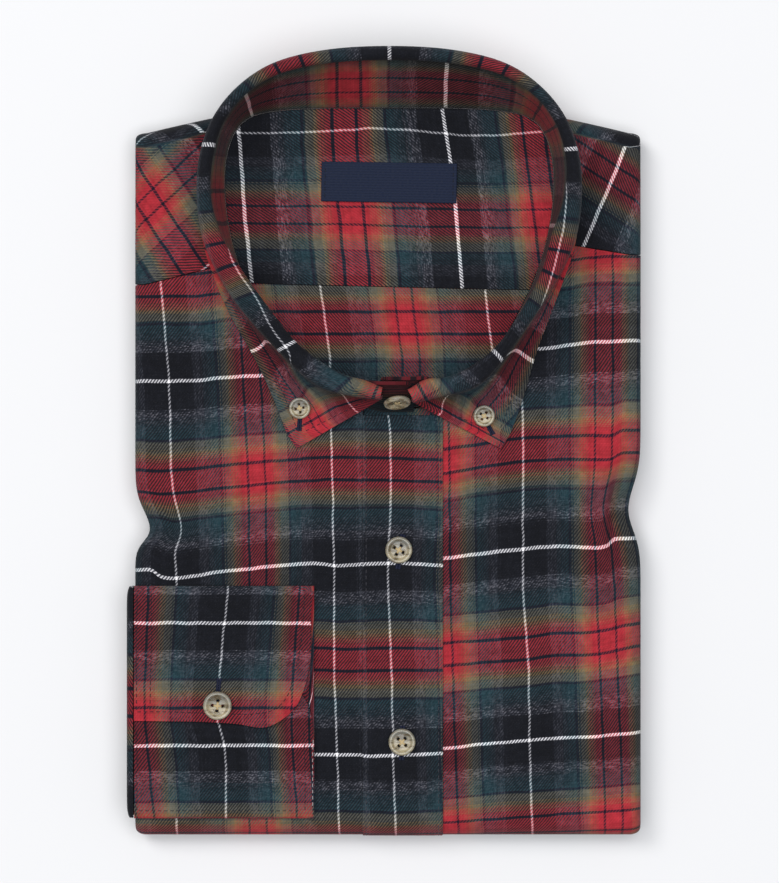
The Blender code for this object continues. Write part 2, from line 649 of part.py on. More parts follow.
def make_neck_cutters():
    """The neck opening through the fronts and yoke, and the hollow in the hidden layers."""
    line = neck_line()
    count = len(line)
    points = [(x, y, z) for z in (NECK_CUT_FROM, NECK_CUT_TO) for x, y in line]
    sides = [(i, i + count, (i + 1) % count + count, (i + 1) % count) for i in range(count)]
    faces = sides + [tuple(range(count)), tuple(reversed(range(count, 2 * count)))]
    opening = as_cutter(mesh_object("neck_opening_cutter", points, faces, CUTTERS))

    rings = dish_rings(SEAM_GAP)
    under = Vector((0, 0, WALL + WELL_CLEARANCE))
    points = [Vector((*NECK_CENTRE, FLOOR_Z)) - under] + [p - under for ring in rings for p in ring]
    last = 1 + (len(rings) - 1) * count
    top = len(points)
    points += [Vector((p.x, p.y, NECK_CUT_TO)) for p in rings[-1]]
    faces = [tuple(reversed(face)) for face in ring_faces(len(rings), count)]
    for i in range(count):
        beside = (i + 1) % count
        faces.append((last + beside, last + i, top + i, top + beside))
    faces.append(tuple(top + i for i in reversed(range(count))))
    well = as_cutter(mesh_object("neck_well_cutter", points, faces, CUTTERS))
    for cutter in (opening, well):
        clean = bmesh.new()
        clean.from_mesh(cutter.data)
        bmesh.ops.recalc_face_normals(clean, faces=clean.faces)
        clean.to_mesh(cutter.data)
        clean.free()
    return opening, well


# ---- cuff and sleeve ----------------------------------------------------------------
def corner_lift(distance, width, height):
    """How far a rounded corner lifts a free end at a distance from the hem."""
    if distance >= width:
        return 0.0
    return height * (1 - math.sqrt(1 - (1 - distance / width) ** 2))


def make_cuff():
    """One band, folded flat, its outer end lapped over the under end."""
    base = HALF_THICK + top_height(mix(CUFF_LEFT, CUFF_RIGHT, 0.5), mix(SLEEVE_TOP, SLEEVE_BOTTOM, 0.5))
    rows = []
    for index, (y, height) in enumerate(CUFF_SECTION):
        line = []
        for share in CUFF_COLUMNS:
            x = mix(CUFF_LEFT, CUFF_RIGHT, share)
            here = y
            if index == 0:
                here = CUFF_LAP_Y + corner_lift(CUFF_RIGHT - x, CUFF_LAP_CORNER_WIDTH, CUFF_LAP_CORNER)
            elif index <= 3:
                lap = CUFF_LAP_Y + corner_lift(CUFF_RIGHT - x, CUFF_LAP_CORNER_WIDTH, CUFF_LAP_CORNER)
                here = mix(lap, CUFF_SECTION[4][0], index / 4)
            elif index == len(CUFF_SECTION) - 1:
                here = CUFF_UNDER_Y - corner_lift(CUFF_RIGHT - x, CUFF_UNDER_CORNER_WIDTH, CUFF_UNDER_CORNER)
            line.append(Vector((x, here, base + height)))
        rows.append(line)
    sheet("cuff", rows, CUFF_WALL, FLANNEL_TEAL, flip=True)
    return rows


def make_sleeve():
    """End of the sleeve: from the cuff over the side roll and into the slit between the layers."""
    last = (len(SLEEVE_SECTION) - 1) * SLEEVE_STEPS
    section = [tuple(spline(axis, step / SLEEVE_STEPS) for axis in zip(*SLEEVE_SECTION))
               for step in range(last, -1, -1)]
    rows = [[Vector((x, mix(SLEEVE_TOP, SLEEVE_BOTTOM, share), z)) for x, z in section]
            for share in SLEEVE_ROWS]
    for row in (rows[0], rows[-1]):
        for index, point in enumerate(row):
            point.x += SLEEVE_TUCK * math.sin(math.pi * index / last)
    sleeve = sheet("sleeve_right", rows, SLEEVE_WALL, FLANNEL_RED)
    group = sleeve.vertex_groups.new(name="wall")
    for index in range(len(rows) * len(section)):
        from_cuff = (last - index % len(section)) / SLEEVE_STEPS
        group.add([index], 1 - smooth(from_cuff, SLEEVE_THIN_FROM, SLEEVE_THIN_TO), 'REPLACE')
    solidify = sleeve.modifiers["wall"]
    solidify.vertex_group = group.name
    solidify.thickness_vertex_group = SLEEVE_SLIT_SHARE


# ---- buttons ----------------------------------------------------------------------------
def button_mesh(diameter):
    """A turned four-hole button, its back on z = 0."""
    radius, thick = diameter / 2, diameter * BUTTON_THICK
    mesh = bpy.data.meshes.new("button_profile")
    mesh.from_pydata([(share * radius, 0, height * thick) for share, height in BUTTON_PROFILE],
                     [(i, i + 1) for i in range(len(BUTTON_PROFILE) - 1)], [])
    blank = bpy.data.objects.new("button_blank", mesh)
    CUTTERS.objects.link(blank)
    screw = blank.modifiers.new("turn", 'SCREW')
    screw.steps = screw.render_steps = BUTTON_SIDES
    screw.use_merge_vertices = True
    screw.merge_threshold = 0.00001
    holes = bmesh.new()
    for quarter in range(4):
        angle = math.radians(45 + 90 * quarter)
        place = Matrix.Translation((math.cos(angle) * BUTTON_HOLE_OFFSET * diameter,
                                    math.sin(angle) * BUTTON_HOLE_OFFSET * diameter, 0))
        bmesh.ops.create_cone(holes, cap_ends=True, segments=HOLE_SIDES, depth=4 * thick, matrix=place,
                              radius1=BUTTON_HOLE_RADIUS * diameter, radius2=BUTTON_HOLE_RADIUS * diameter)
    hole_mesh = bpy.data.meshes.new("button_holes")
    holes.to_mesh(hole_mesh)
    holes.free()
    cutter = bpy.data.objects.new("button_holes", hole_mesh)
    CUTTERS.objects.link(cutter)
    cut(blank, cutter)
    graph = bpy.context.evaluated_depsgraph_get()
    made = bpy.data.meshes.new_from_object(blank.evaluated_get(graph))
    for helper in (blank, cutter):
        bpy.data.objects.remove(helper, do_unlink=True)
    made.shade_smooth()
    return made


def seat(rows, x, y, skip_rows=0):
    """Nearest point of a sheet's grid seen from above, with the sheet's outward direction there."""
    best = None
    for i in range(skip_rows, len(rows) - 1):
        for j in range(len(rows[0]) - 1):
            corners = (rows[i][j], rows[i + 1][j], rows[i + 1][j + 1], rows[i][j + 1])
            centre = sum(corners, Vector()) / 4
            distance = math.hypot(centre.x - x, centre.y - y)
            if best is None or distance < best[0]:
                normal = (corners[2] - corners[0]).cross(corners[3] - corners[1]).normalized()
                best = (distance, centre, normal if normal.z > 0 else -normal)
    distance, centre, normal = best
    drop = (normal.x * (x - centre.x) + normal.y * (y - centre.y)) / normal.z
    return Vector((x, y, centre.z - drop)), normal


def clear_height(rows, point, normal, radius):
    """How far a round thing of this radius must stand off to clear a curved sheet."""
    near = (corner for row in rows for corner in row if (corner - point).length < radius * 1.5)
    return max([0.0] + [(corner - point).dot(normal) for corner in near])


def place_button(name, mesh, point, normal, above, look):
    button = bpy.data.objects.new(name, mesh)
    PARTS.objects.link(button)
    button.data.materials.clear()
    button.data.materials.append(look)
    button.location = point + normal * above
    button.rotation_mode = 'QUATERNION'
    button.rotation_quaternion = normal.to_track_quat('Z', 'Y')


def make_buttons(leaf_rows, cuff_rows):
    horn = material("button", HORN, roughness=0.35)
    front_mesh, collar_mesh, cuff_mesh = (button_mesh(size)
                                          for size in (FRONT_BUTTON, COLLAR_BUTTON, CUFF_BUTTON))
    for index, (x, y) in enumerate(FRONT_BUTTONS, start=1):
        point = Vector((x, y, HALF_THICK + top_height(x, y) + PLACKET_LIFT))
        place_button(f"button_front_{index}", front_mesh, point, Vector((0, 0, 1)), SEAM_GAP, horn)
    for name, x, y in COLLAR_BUTTONS:
        point, normal = seat(leaf_rows, x, y, skip_rows=len(LEAF_RISE) - 1)
        above = BUTTON_LIE + clear_height(leaf_rows, point, normal, COLLAR_BUTTON / 2)
        place_button(name, collar_mesh, point, normal, above, horn)
    place_button("button_neck", front_mesh, Vector(NECK_BUTTON_PLACE), Vector(NECK_BUTTON_FACES).normalized(),
                 0.0, horn)
    point = Vector((*CUFF_BUTTON_PLACE, cuff_rows[0][0].z))
    place_button("button_cuff", cuff_mesh, point, Vector(CUFF_BUTTON_FACES).normalized(),
                 CUFF_BUTTON_SHANK, horn)


clear_scene()
neck_opening, neck_well = make_neck_cutters()
make_fronts(neck_opening)
make_yoke(neck_opening)
make_placket()
make_folded_layers(neck_well)
make_collar_stand()
leaf_rows = make_collar_leaf()
make_inside()
make_label()
cuff_rows = make_cuff()
make_sleeve()
make_buttons(leaf_rows, cuff_rows)
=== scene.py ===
"""A flannel shirt with a button-down collar, buttoned, folded and laid on a pale table."""

import math
from collections import namedtuple

import bmesh
import bpy
from mathutils import Matrix, Vector
from mathutils.bvhtree import BVHTree


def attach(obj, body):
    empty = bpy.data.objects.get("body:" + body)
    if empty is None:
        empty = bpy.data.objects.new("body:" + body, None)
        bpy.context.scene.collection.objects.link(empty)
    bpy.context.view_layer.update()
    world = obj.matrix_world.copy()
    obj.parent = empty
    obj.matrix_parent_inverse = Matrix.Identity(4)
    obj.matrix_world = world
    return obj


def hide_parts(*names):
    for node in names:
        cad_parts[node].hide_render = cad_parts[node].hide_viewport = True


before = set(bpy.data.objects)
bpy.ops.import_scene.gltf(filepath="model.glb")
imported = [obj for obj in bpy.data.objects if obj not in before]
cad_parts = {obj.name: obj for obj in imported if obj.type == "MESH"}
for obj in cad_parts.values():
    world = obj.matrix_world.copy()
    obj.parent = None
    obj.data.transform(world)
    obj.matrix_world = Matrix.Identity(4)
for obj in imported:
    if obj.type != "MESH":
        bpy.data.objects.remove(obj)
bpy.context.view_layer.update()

# ---- Table, light and camera ---------------------------------------------------------
# A matt white table top in a pale room, under a soft lamp at the upper left and a wide one overhead. The
# camera hangs straight above the middle of the packet.
MM = 0.001
FRAME_HEIGHT = 397.3 * MM            # what the long side of the picture takes in
CAMERA_PLACE = Vector((2.5, 0.8, 2022.0)) * MM
CAMERA_ABOVE = 2000.0 * MM
SENSOR = 36.0
TABLE_HALF = 3.0
TABLE_WHITE = (0.735, 0.735, 0.747)
ROOM_COLOUR = (0.97, 0.98, 1.0)
ROOM_LIGHT = 0.26                    # strength of the light that the room gives
WALL_LOOK = 0.90                     # and how bright its far wall looks
LAMPS = (
    # name, place, size, power, colour
    ("key", (-1.5, 1.35, 3.5), 1.5, 56.0, (1.0, 0.985, 0.965)),
    ("overhead", (0.25, 0.0, 5.0), 4.2, 221.0, (0.97, 0.985, 1.0)),
)


def put_in_scene(name, data):
    """Adds an object with this mesh, lamp or camera to the scene."""
    made = bpy.data.objects.new(name, data)
    bpy.context.scene.collection.objects.link(made)
    return made


def new_material(name):
    """A new material, its node tree and its shader."""
    made = bpy.data.materials.new(name)
    made.use_nodes = True
    return made, made.node_tree, made.node_tree.nodes["Principled BSDF"]


camera_data = bpy.data.cameras.new("camera")
camera_data.sensor_width = SENSOR
camera_data.lens = SENSOR * CAMERA_ABOVE / FRAME_HEIGHT
camera_data.clip_start = 0.1
camera_data.clip_end = 50.0
camera = put_in_scene("camera", camera_data)
camera.location = CAMERA_PLACE
bpy.context.scene.camera = camera
bpy.context.scene.view_settings.view_transform = 'Standard'

for name, place, size, power, colour in LAMPS:
    lamp_data = bpy.data.lights.new(name, 'AREA')
    lamp_data.shape = 'DISK'
    lamp_data.size = size
    lamp_data.energy = power
    lamp_data.color = colour
    lamp = put_in_scene(name, lamp_data)
    lamp.location = place
    lamp.rotation_mode = 'QUATERNION'
    lamp.rotation_quaternion = (-Vector(place)).to_track_quat('-Z', 'Y')
    lamp.visible_camera = False

world = bpy.data.worlds.new("pale_room")
world.use_nodes = True
room = world.node_tree
room.nodes["Background"].inputs["Color"].default_value = (*ROOM_COLOUR, 1)
# The room is dim against the lamps, but its far wall looks as pale as the table.
seen = room.nodes.new("ShaderNodeLightPath").outputs["Is Camera Ray"]
wall_light = room.nodes.new("ShaderNodeMapRange")
wall_light.inputs["To Min"].default_value = ROOM_LIGHT
wall_light.inputs["To Max"].default_value = WALL_LOOK
room.links.new(seen, wall_light.inputs["Value"])
room.links.new(wall_light.outputs[0], room.nodes["Background"].inputs["Strength"])
bpy.context.scene.world = world

table_mesh = bpy.data.meshes.new("table_top")
corners = ((-1, -1), (1, -1), (1, 1), (-1, 1))
table_mesh.from_pydata([(x * TABLE_HALF, y * TABLE_HALF, 0) for x, y in corners], [], [(0, 1, 2, 3)])
table_top = put_in_scene("table_top", table_mesh)
table_paint, _, paint_shader = new_material("table_paint")
paint_shader.inputs["Base Color"].default_value = (*TABLE_WHITE, 1)
paint_shader.inputs["Roughness"].default_value = 0.8
table_mesh.materials.append(table_paint)

# ---- Flannel ---------------------------------------------------------------------------
# Cotton twill, two threads over and two under, brushed to a soft nap. The same stripes run in warp and
# weft, mirrored about a white line and about the middle of a red band. Charcoal threads are heathered.
WARP_THREAD = 0.35 * MM
WEFT_THREAD = 0.435 * MM
WHITE = (0.94, 0.92, 0.94)
BLACK = (0.0048, 0.0054, 0.0083)
CHARCOAL = (0.011, 0.013, 0.019)
TEAL = (0.0075, 0.0230, 0.0310)
DEEP_TEAL = (0.0070, 0.0170, 0.0235)
BRIGHT_TEAL = (0.0120, 0.0360, 0.0460)
NAVY = (0.0045, 0.0052, 0.014)
SAGE = (0.094, 0.090, 0.067)
OLIVE = (0.185, 0.118, 0.050)
RUST = (0.265, 0.066, 0.041)
RED = (0.338, 0.0197, 0.0292)
FLECK = (0.175, 0.168, 0.19)
# A band's colour runs into the next one's; places are millimetres from the middle of a white line.
Band = namedtuple("Band", "place colour flecks")
Line = namedtuple("Line", "place half_width colour cover")
WARP_HALF = 36.2                     # from a white line to the next red middle
WEFT_HALF = 43.0
WARP_BANDS = (
    Band(0.0, BLACK, 0.0), Band(10.3, BLACK, 0.1), Band(11.4, CHARCOAL, 0.6), Band(14.2, CHARCOAL, 0.6),
    Band(16.0, DEEP_TEAL, 0.5), Band(18.0, TEAL, 0.4), Band(20.0, BRIGHT_TEAL, 0.2), Band(21.2, TEAL, 0.2),
    Band(22.2, SAGE, 0.2), Band(24.6, SAGE, 0.2), Band(26.0, OLIVE, 0.15), Band(28.0, RUST, 0.1),
    Band(30.2, RED, 0.05), Band(36.2, RED, 0.05))
WARP_LINES = (Line(0.0, 0.50, WHITE, 1.0), Line(20.9, 0.45, NAVY, 0.7), Line(32.3, 0.50, NAVY, 0.95))
WEFT_BANDS = (
    Band(0.0, BLACK, 0.0), Band(11.6, BLACK, 0.1), Band(12.8, CHARCOAL, 1.0), Band(15.6, CHARCOAL, 1.0),
    Band(18.0, DEEP_TEAL, 0.55), Band(21.0, TEAL, 0.4), Band(24.0, BRIGHT_TEAL, 0.2), Band(25.6, TEAL, 0.2),
    Band(26.6, SAGE, 0.2), Band(29.2, SAGE, 0.2), Band(31.2, OLIVE, 0.15), Band(33.2, RUST, 0.1),
    Band(36.4, RED, 0.05), Band(43.0, RED, 0.05))
WEFT_LINES = (Line(0.0, 0.80, WHITE, 1.0), Line(25.4, 0.50, NAVY, 0.8), Line(38.0, 0.66, NAVY, 0.95))
CRISP_EDGE = 0.14                    # half the width over which a line's edge blends
# How fine the patterns of loose fibres, light fibres, uneven dye and straying threads are.
LINT_GRAIN = 1500.0
FLECK_GRAIN = 300.0
DYE_GRAIN = 260.0
BROAD_GRAIN = 35.0
WANDER_GRAIN = 90.0
LINT_COLOUR = (0.26, 0.25, 0.27)
FLANNEL_RELIEF = 0.16 * MM
THREAD_SCATTER = 2.2 * MM            # single threads keep to no clear edge between bands
THREAD_WANDER = 1.1 * MM             # how far threads stray from their lines
WARP_SHOWS = (0.165, 0.71)           # share of warp where the weft lies on top, and where the warp does
RIB_BREAK = 2.6                      # how far loose fibres move a rib's edge
MIX_POWER = 3.6                      # dark threads outweigh bright ones where both show


def step(tree, kind, *values, **settings):
    """Adds a shader node, sets its options and fills its inputs in order; gives its first output."""
    made = tree.nodes.new("ShaderNode" + kind)
    for name, value in settings.items():
        setattr(made, name, value)
    for socket, value in zip(made.inputs, values):
        if isinstance(value, bpy.types.NodeSocket):
            tree.links.new(value, socket)
        elif value is not None:
            socket.default_value = value
    return made.outputs[0]


def sum_of(tree, operation, *values):
    """Adds a shader node that reckons with numbers."""
    return step(tree, "Math", *values, operation=operation)


def blend(tree, share, first, second, mode='MIX'):
    """Blends two colours."""
    made = tree.nodes.new("ShaderNodeMix")
    made.data_type = 'RGBA'
    made.blend_type = mode
    for socket, value in ((made.inputs[0], share), (made.inputs[6], first), (made.inputs[7], second)):
        if isinstance(value, bpy.types.NodeSocket):
            tree.links.new(value, socket)
        else:
            socket.default_value = value if isinstance(value, float) else (*value[:3], 1)
    return made.outputs[2]


def between(tree, value, low, high, start=0.0, end=1.0):
    """Turns values from low to high into ones from start to end, with soft ends."""
    return step(tree, "MapRange", value, low, high, start, end, interpolation_type='SMOOTHSTEP')


def cloud(tree, place, scale, detail=2.0, rough=0.5):
    """Soft noise from 0 to 1."""
    return step(tree, "TexNoise", place, None, scale, detail, rough)


def thread_ramp(tree, place, half, stops):
    """Colour and alpha read from a ramp of (millimetres, colour, alpha) stops that runs to half a repeat."""
    ramp = tree.nodes.new("ShaderNodeValToRGB")
    folded = sum_of(tree, 'PINGPONG', place, half * MM)
    tree.links.new(sum_of(tree, 'DIVIDE', folded, half * MM), ramp.inputs[0])
    elements = ramp.color_ramp.elements
    while len(elements) < len(stops):
        elements.new(0.5)
    for element, (position, colour, alpha) in zip(elements, stops):
        element.position = min(max(position / half, 0.0), 1.0)
        element.color = (*(channel ** (1 / MIX_POWER) for channel in colour), alpha)
    return ramp.outputs["Color"], ramp.outputs["Alpha"]


def thread_colour(tree, place, chance, half, bands, lines):
    """Colour of the thread at a place, and how many light flecks it has."""
    scattered = sum_of(tree, 'MULTIPLY_ADD', sum_of(tree, 'SUBTRACT', chance, 0.5), THREAD_SCATTER, place)
    colour, flecks = thread_ramp(tree, scattered, half, bands)
    stops = []
    for line in lines:
        start, end = line.place - line.half_width, line.place + line.half_width
        before = 0.0 if line.place else line.cover
        stops += [(start - CRISP_EDGE, line.colour, before), (start + CRISP_EDGE, line.colour, line.cover),
                  (end - CRISP_EDGE, line.colour, line.cover), (end + CRISP_EDGE, line.colour, 0.0)]
    line_colour, cover = thread_ramp(tree, place, half, stops)
    return blend(tree, cover, colour, line_colour), flecks


def new_group(name, inputs, outputs):
    """An empty node group with these sockets, and the nodes that stand for them inside it."""
    group = bpy.data.node_groups.new(name, "ShaderNodeTree")
    for socket_name, kind, value in inputs:
        socket = group.interface.new_socket(socket_name, in_out='INPUT', socket_type=kind)
        if value is not None:
            socket.default_value = value
    for socket_name, kind in outputs:
        group.interface.new_socket(socket_name, in_out='OUTPUT', socket_type=kind)
    return group, group.nodes.new("NodeGroupInput"), group.nodes.new("NodeGroupOutput")


def make_plaid_twill():
    """Node group: cloth coordinates in metres in, thread colour, relief and nap out."""
    tree, given, result = new_group(
        "plaid_twill",
        [("Cloth", 'NodeSocketVector', None), ("Nap", 'NodeSocketFloat', 1.0),
         ("Fleck Strength", 'NodeSocketFloat', 1.0)],
        [("Color", 'NodeSocketColor'), ("Roughness", 'NodeSocketFloat'), ("Height", 'NodeSocketFloat')])
    cloth = given.outputs["Cloth"]
    # Threads wander a little from their lines.
    waves = step(tree, "TexNoise", cloth, None, WANDER_GRAIN, 1.0).node.outputs["Color"]
    drift = step(tree, "VectorMath", waves, (0.5, 0.5, 0.5), operation='SUBTRACT')
    drifted = step(tree, "VectorMath", drift, (THREAD_WANDER, THREAD_WANDER, 0.0), cloth,
                   operation='MULTIPLY_ADD')
    across, along = step(tree, "SeparateXYZ", drifted).node.outputs[:2]

    # The twill: each weft thread passes over two warps and under two, one further on in each row.
    warp_place = sum_of(tree, 'DIVIDE', across, WARP_THREAD)
    weft_place = sum_of(tree, 'DIVIDE', along, WEFT_THREAD)
    slant = sum_of(tree, 'SUBTRACT', warp_place, weft_place)
    rib = sum_of(tree, 'SINE', sum_of(tree, 'MULTIPLY', slant, math.pi / 2))
    float_number = sum_of(tree, 'FLOOR', sum_of(tree, 'DIVIDE', slant, 4.0))
    # Brushed fibres break up the edges of the ribs.
    lint = cloud(tree, cloth, LINT_GRAIN, 3.0, 0.62)
    rough_rib = sum_of(tree, 'MULTIPLY_ADD', sum_of(tree, 'SUBTRACT', lint, 0.5), RIB_BREAK, rib)
    warp_on_top = between(tree, rough_rib, -0.5, 0.5)

    # Light fibres show on some of the floats of the heathered bands.
    spread = between(tree, cloud(tree, cloth, FLECK_GRAIN, 2.0), 0.30, 0.65, 0.78, 1.0)
    sides = []
    for place, thread_place, half, bands, lines in ((across, warp_place, WARP_HALF, WARP_BANDS, WARP_LINES),
                                                    (along, weft_place, WEFT_HALF, WEFT_BANDS, WEFT_LINES)):
        number = sum_of(tree, 'FLOOR', thread_place)
        chance = step(tree, "TexWhiteNoise", None, number, noise_dimensions='1D')
        colour, flecks = thread_colour(tree, place, chance, half, bands, lines)
        cell = step(tree, "CombineXYZ", number, float_number, half)
        light = between(tree, step(tree, "TexWhiteNoise", cell), 0.10, 1.0, 0.0, 0.85)
        amount = sum_of(tree, 'MULTIPLY', sum_of(tree, 'MULTIPLY', light, flecks),
                        sum_of(tree, 'MULTIPLY', spread, given.outputs["Fleck Strength"]))
        flecked = blend(tree, amount, colour, tuple(channel ** (1 / MIX_POWER) for channel in FLECK))
        varied = sum_of(tree, 'FRACT', sum_of(tree, 'MULTIPLY', chance, 7.3))
        tone = sum_of(tree, 'MULTIPLY_ADD', varied, 0.10, 0.95)
        sides.append(step(tree, "VectorMath", flecked, None, None, tone, operation='SCALE'))
    weft_up, warp_up = WARP_SHOWS
    share = sum_of(tree, 'MULTIPLY_ADD', warp_on_top, warp_up - weft_up, weft_up)
    woven = blend(tree, share, sides[1], sides[0])
    mixed = step(tree, "Gamma", woven, MIX_POWER)

    # Brushed fibres lie over the threads and blur them; the colour is uneven from place to place, and painted
    # shade and light follow the twill's ribs.
    lint_light = between(tree, lint, 0.52, 0.80, 0.0, 0.07)
    lint_amount = sum_of(tree, 'MULTIPLY', lint_light, given.outputs["Nap"])
    napped = blend(tree, lint_amount, mixed, LINT_COLOUR)
    patchy = between(tree, cloud(tree, cloth, DYE_GRAIN, 2.0, 0.6), 0.3, 0.7, 0.86, 1.12)
    broad = between(tree, cloud(tree, cloth, BROAD_GRAIN, 2.0), 0.3, 0.7, 0.93, 1.07)
    # Painted shade and light on the twill's ribs: the colour is 6 % darker at a rib's crest and 6 % lighter
    # between ribs.
    rib_painted_shade = between(tree, rib, -1.0, 1.0, 1.06, 0.94)
    dye_and_rib_shade = sum_of(tree, 'MULTIPLY', sum_of(tree, 'MULTIPLY', patchy, broad), rib_painted_shade)
    shade = step(tree, "CombineXYZ", dye_and_rib_shade, dye_and_rib_shade, dye_and_rib_shade)
    tree.links.new(blend(tree, 1.0, napped, shade, 'MULTIPLY'), result.inputs["Color"])

    # Relief: rounded threads, the upper one higher, with loose fibres.
    rounds = []
    for place in (warp_place, weft_place):
        from_middle = sum_of(tree, 'MULTIPLY_ADD', sum_of(tree, 'FRACT', place), 2.0, -1.0)
        rounds.append(sum_of(tree, 'SUBTRACT', 1.0, sum_of(tree, 'MULTIPLY', from_middle, from_middle)))
    lift = step(tree, "Mix", warp_on_top, None, rounds[1], rounds[0])
    fuzz = sum_of(tree, 'MULTIPLY', lint, given.outputs["Nap"])
    thread_height = sum_of(tree, 'MULTIPLY_ADD', rib, 0.15, sum_of(tree, 'MULTIPLY', lift, 0.45))
    tree.links.new(sum_of(tree, 'ADD', thread_height, fuzz), result.inputs["Height"])
    tree.links.new(between(tree, lint, 0.3, 0.7, 0.82, 1.0), result.inputs["Roughness"])
    return tree


plaid_twill = make_plaid_twill()


def add_relief(tree, shader, height, strength, depth):
    """Shows a height as relief of this depth."""
    relief = tree.nodes.new("ShaderNodeBump")
    relief.inputs["Strength"].default_value = strength
    relief.inputs["Distance"].default_value = depth
    tree.links.new(height, relief.inputs["Height"])
    tree.links.new(relief.outputs[0], shader.inputs["Normal"])


def make_flannel(name, nap, flecks, depth=1.0):
    """The plaid with its own share of nap and flecks; depth below 1 darkens all its colours as painted shade.
    """
    made, tree, shader = new_material(name)
    cloth = step(tree, "UVMap", uv_map="cloth")
    plaid = tree.nodes.new("ShaderNodeGroup")
    plaid.node_tree = plaid_twill
    tree.links.new(cloth, plaid.inputs["Cloth"])
    plaid.inputs["Nap"].default_value = nap
    plaid.inputs["Fleck Strength"].default_value = flecks
    # A depth below 1 is painted shade: every colour of the material is scaled down by it.
    tone = step(tree, "VectorMath", plaid.outputs["Color"], None, None, depth, operation='SCALE')
    tree.links.new(tone, shader.inputs["Base Color"])
    tree.links.new(plaid.outputs["Roughness"], shader.inputs["Roughness"])
    add_relief(tree, shader, plaid.outputs["Height"], 0.55, FLANNEL_RELIEF)
    shader.inputs["Specular IOR Level"].default_value = 0.15
    shader.inputs["Sheen Weight"].default_value = 0.04
    shader.inputs["Sheen Roughness"].default_value = 0.45
    return made


flannel = make_flannel("flannel", 1.0, 1.0)

# ---- Hidden layers -----------------------------------------------------------------------
# Back, sleeves and turned-up tail, folded flat inside the packet. Only their folded edges show, between
# the rolls at the sides and in the strip under the packet where the turned-up hem stops.
MIDDLE_X = 1.8 * MM
HALF_WIDTH = 113.85 * MM
HALF_THICK = 12.0 * MM
LAYER_ZONE = 2.6 * MM                # the rolls at the sides close to this far from the middle plane
ROLL_REACH = 4.7 * MM                # how far they bulge out
ROLL_END = 155.0                     # and how far round they go, in degrees
BOTTOM_Y = -176.8 * MM               # outermost line of the fold along the bottom
BOTTOM_REACH = 7.2 * MM              # and how far it bulges out
BOTTOM_PRESS = 0.3                   # what is left of the placket's thickness where it is pressed in the fold
BACK_Y = 158.0 * MM                  # outermost line of the fold at the back of the neck
TOP_REACH = 6.0 * MM
SHOULDER_SLOPE = 19.0 * MM           # how far that fold comes forward at the sides
SHOULDER_POWER = 1.5
SHOULDER_DROP = 3.0 * MM             # how much lower the show face lies behind the neck
SHOULDER_DROP_FROM = 85.0 * MM
SHOULDER_DROP_TO = 148.0 * MM
PLACKET_LEFT = -9.6 * MM
PLACKET_RIGHT = 26.5 * MM
PLACKET_TOP = 12.6 * MM              # where it ends under the collar
PLACKET_LIFT = 1.6 * MM              # how far its face stands over the front's
PLACKET_STEP_LEFT = (2.0 * MM, 0.3 * MM)     # underneath, the front is drawn in to make room for it
PLACKET_STEP_RIGHT = (2.4 * MM, 0.5 * MM)    # between these distances from its edges
FRONT_HEM_Y = 95.0 * MM              # hems of the fronts and of the yoke on the underside
YOKE_HEM_Y = 112.0 * MM
YOKE_SEAM_LEVEL = 80.0 * MM          # y of the row of the fronts that turns into the yoke's seam
YOKE_SEAM_LEFT = (70.0 * MM, 0.25)   # y at the packet's side, slope
YOKE_SEAM_RIGHT = (83.8 * MM, 0.165)
SEAM_FADE_Y = 30.0 * MM              # from here on the threads of the fronts bend to follow that seam
SLIT_DEPTH = 14.0 * MM               # how deep the layers can be seen between the ends of a roll
CLOTH_WALL = 1.1 * MM
INSIDE_GAP = 1.6 * MM                # from the outer cloth's face down to the layers inside it

Pinch = namedtuple("Pinch", "side y depth above below")
PINCHES = (
    Pinch(-1, -39 * MM, 6.5 * MM, 12 * MM, 7 * MM),
    Pinch(+1, -30 * MM, 5.4 * MM, 15 * MM, 13 * MM),
)
PINCH_SPREAD = 26.0 * MM

# Creases of the fronts: centre, half length, half width, direction in degrees, height.
Crease = namedtuple("Crease", "x y along across turn height")
CREASES = tuple(Crease(x * MM, y * MM, along * MM, across * MM, turn, height * MM)
                for x, y, along, across, turn, height in (
    (-102, -37, 15, 5, 15, -2.4),
    (-92, -47, 17, 6, -12, 0.9),
    (105, -31, 20, 4.5, 88, -2.6),
    (95, -33, 24, 7, 84, 0.8),
    (-72, 22, 40, 13, 72, -0.8),
    (78, 20, 42, 14, 104, -0.8),
    (62, -78, 50, 15, 8, -0.7),
    (80, -130, 34, 13, -14, 0.6),
    (-104.5, -34, 9, 2.2, 82, -1.5),
    (-99, -48, 8, 3.0, -35, -0.8),
    (-88, -54, 22, 4.0, -4, 0.5),
    (-60, -48, 20, 5.0, 10, -0.45),
    (-40, -20, 22, 6.0, 28, 0.35),
    (-96, 8, 20, 5.0, 84, 0.35),
    (-82, -8, 26, 6.0, 66, -0.4),
    (-50, 16, 18, 6.0, 58, 0.4),
    (103.6, -27, 20, 1.7, 88, -2.5),
    (102.5, -56, 14, 2.0, 94, -1.0),
    (88, -60, 18, 5.0, 70, 0.45),
    (74, -20, 24, 5.5, 98, 0.4),
    (56, 6, 18, 5.0, 112, -0.4),
    (46, -42, 22, 6.0, 12, -0.35),
    (96, -96, 20, 4.0, 80, -0.45),
    (50, -112, 24, 6.0, -10, 0.35),
    (70, -158, 26, 5.0, 4, -0.35),
    (104, -140, 16, 3.5, 86, 0.4),
    (-20, -120, 10, 4.0, 80, -0.3),
    (-22, -60, 20, 4.0, 84, 0.3),
))


def smooth(value, start, end):
    """0 at start, 1 at end, with soft ends."""
    share = min(max((value - start) / (end - start), 0.0), 1.0)
    return share * share * (3 - 2 * share)


def mix(start, end, share):
    """Value this share of the way from start to end."""
    return start + (end - start) * share


def evenly(start, end, spacing):
    """Values from start to end, both included, about this far apart."""
    count = max(int(round(abs(end - start) / spacing)), 1)
    return [mix(start, end, index / count) for index in range(count + 1)]


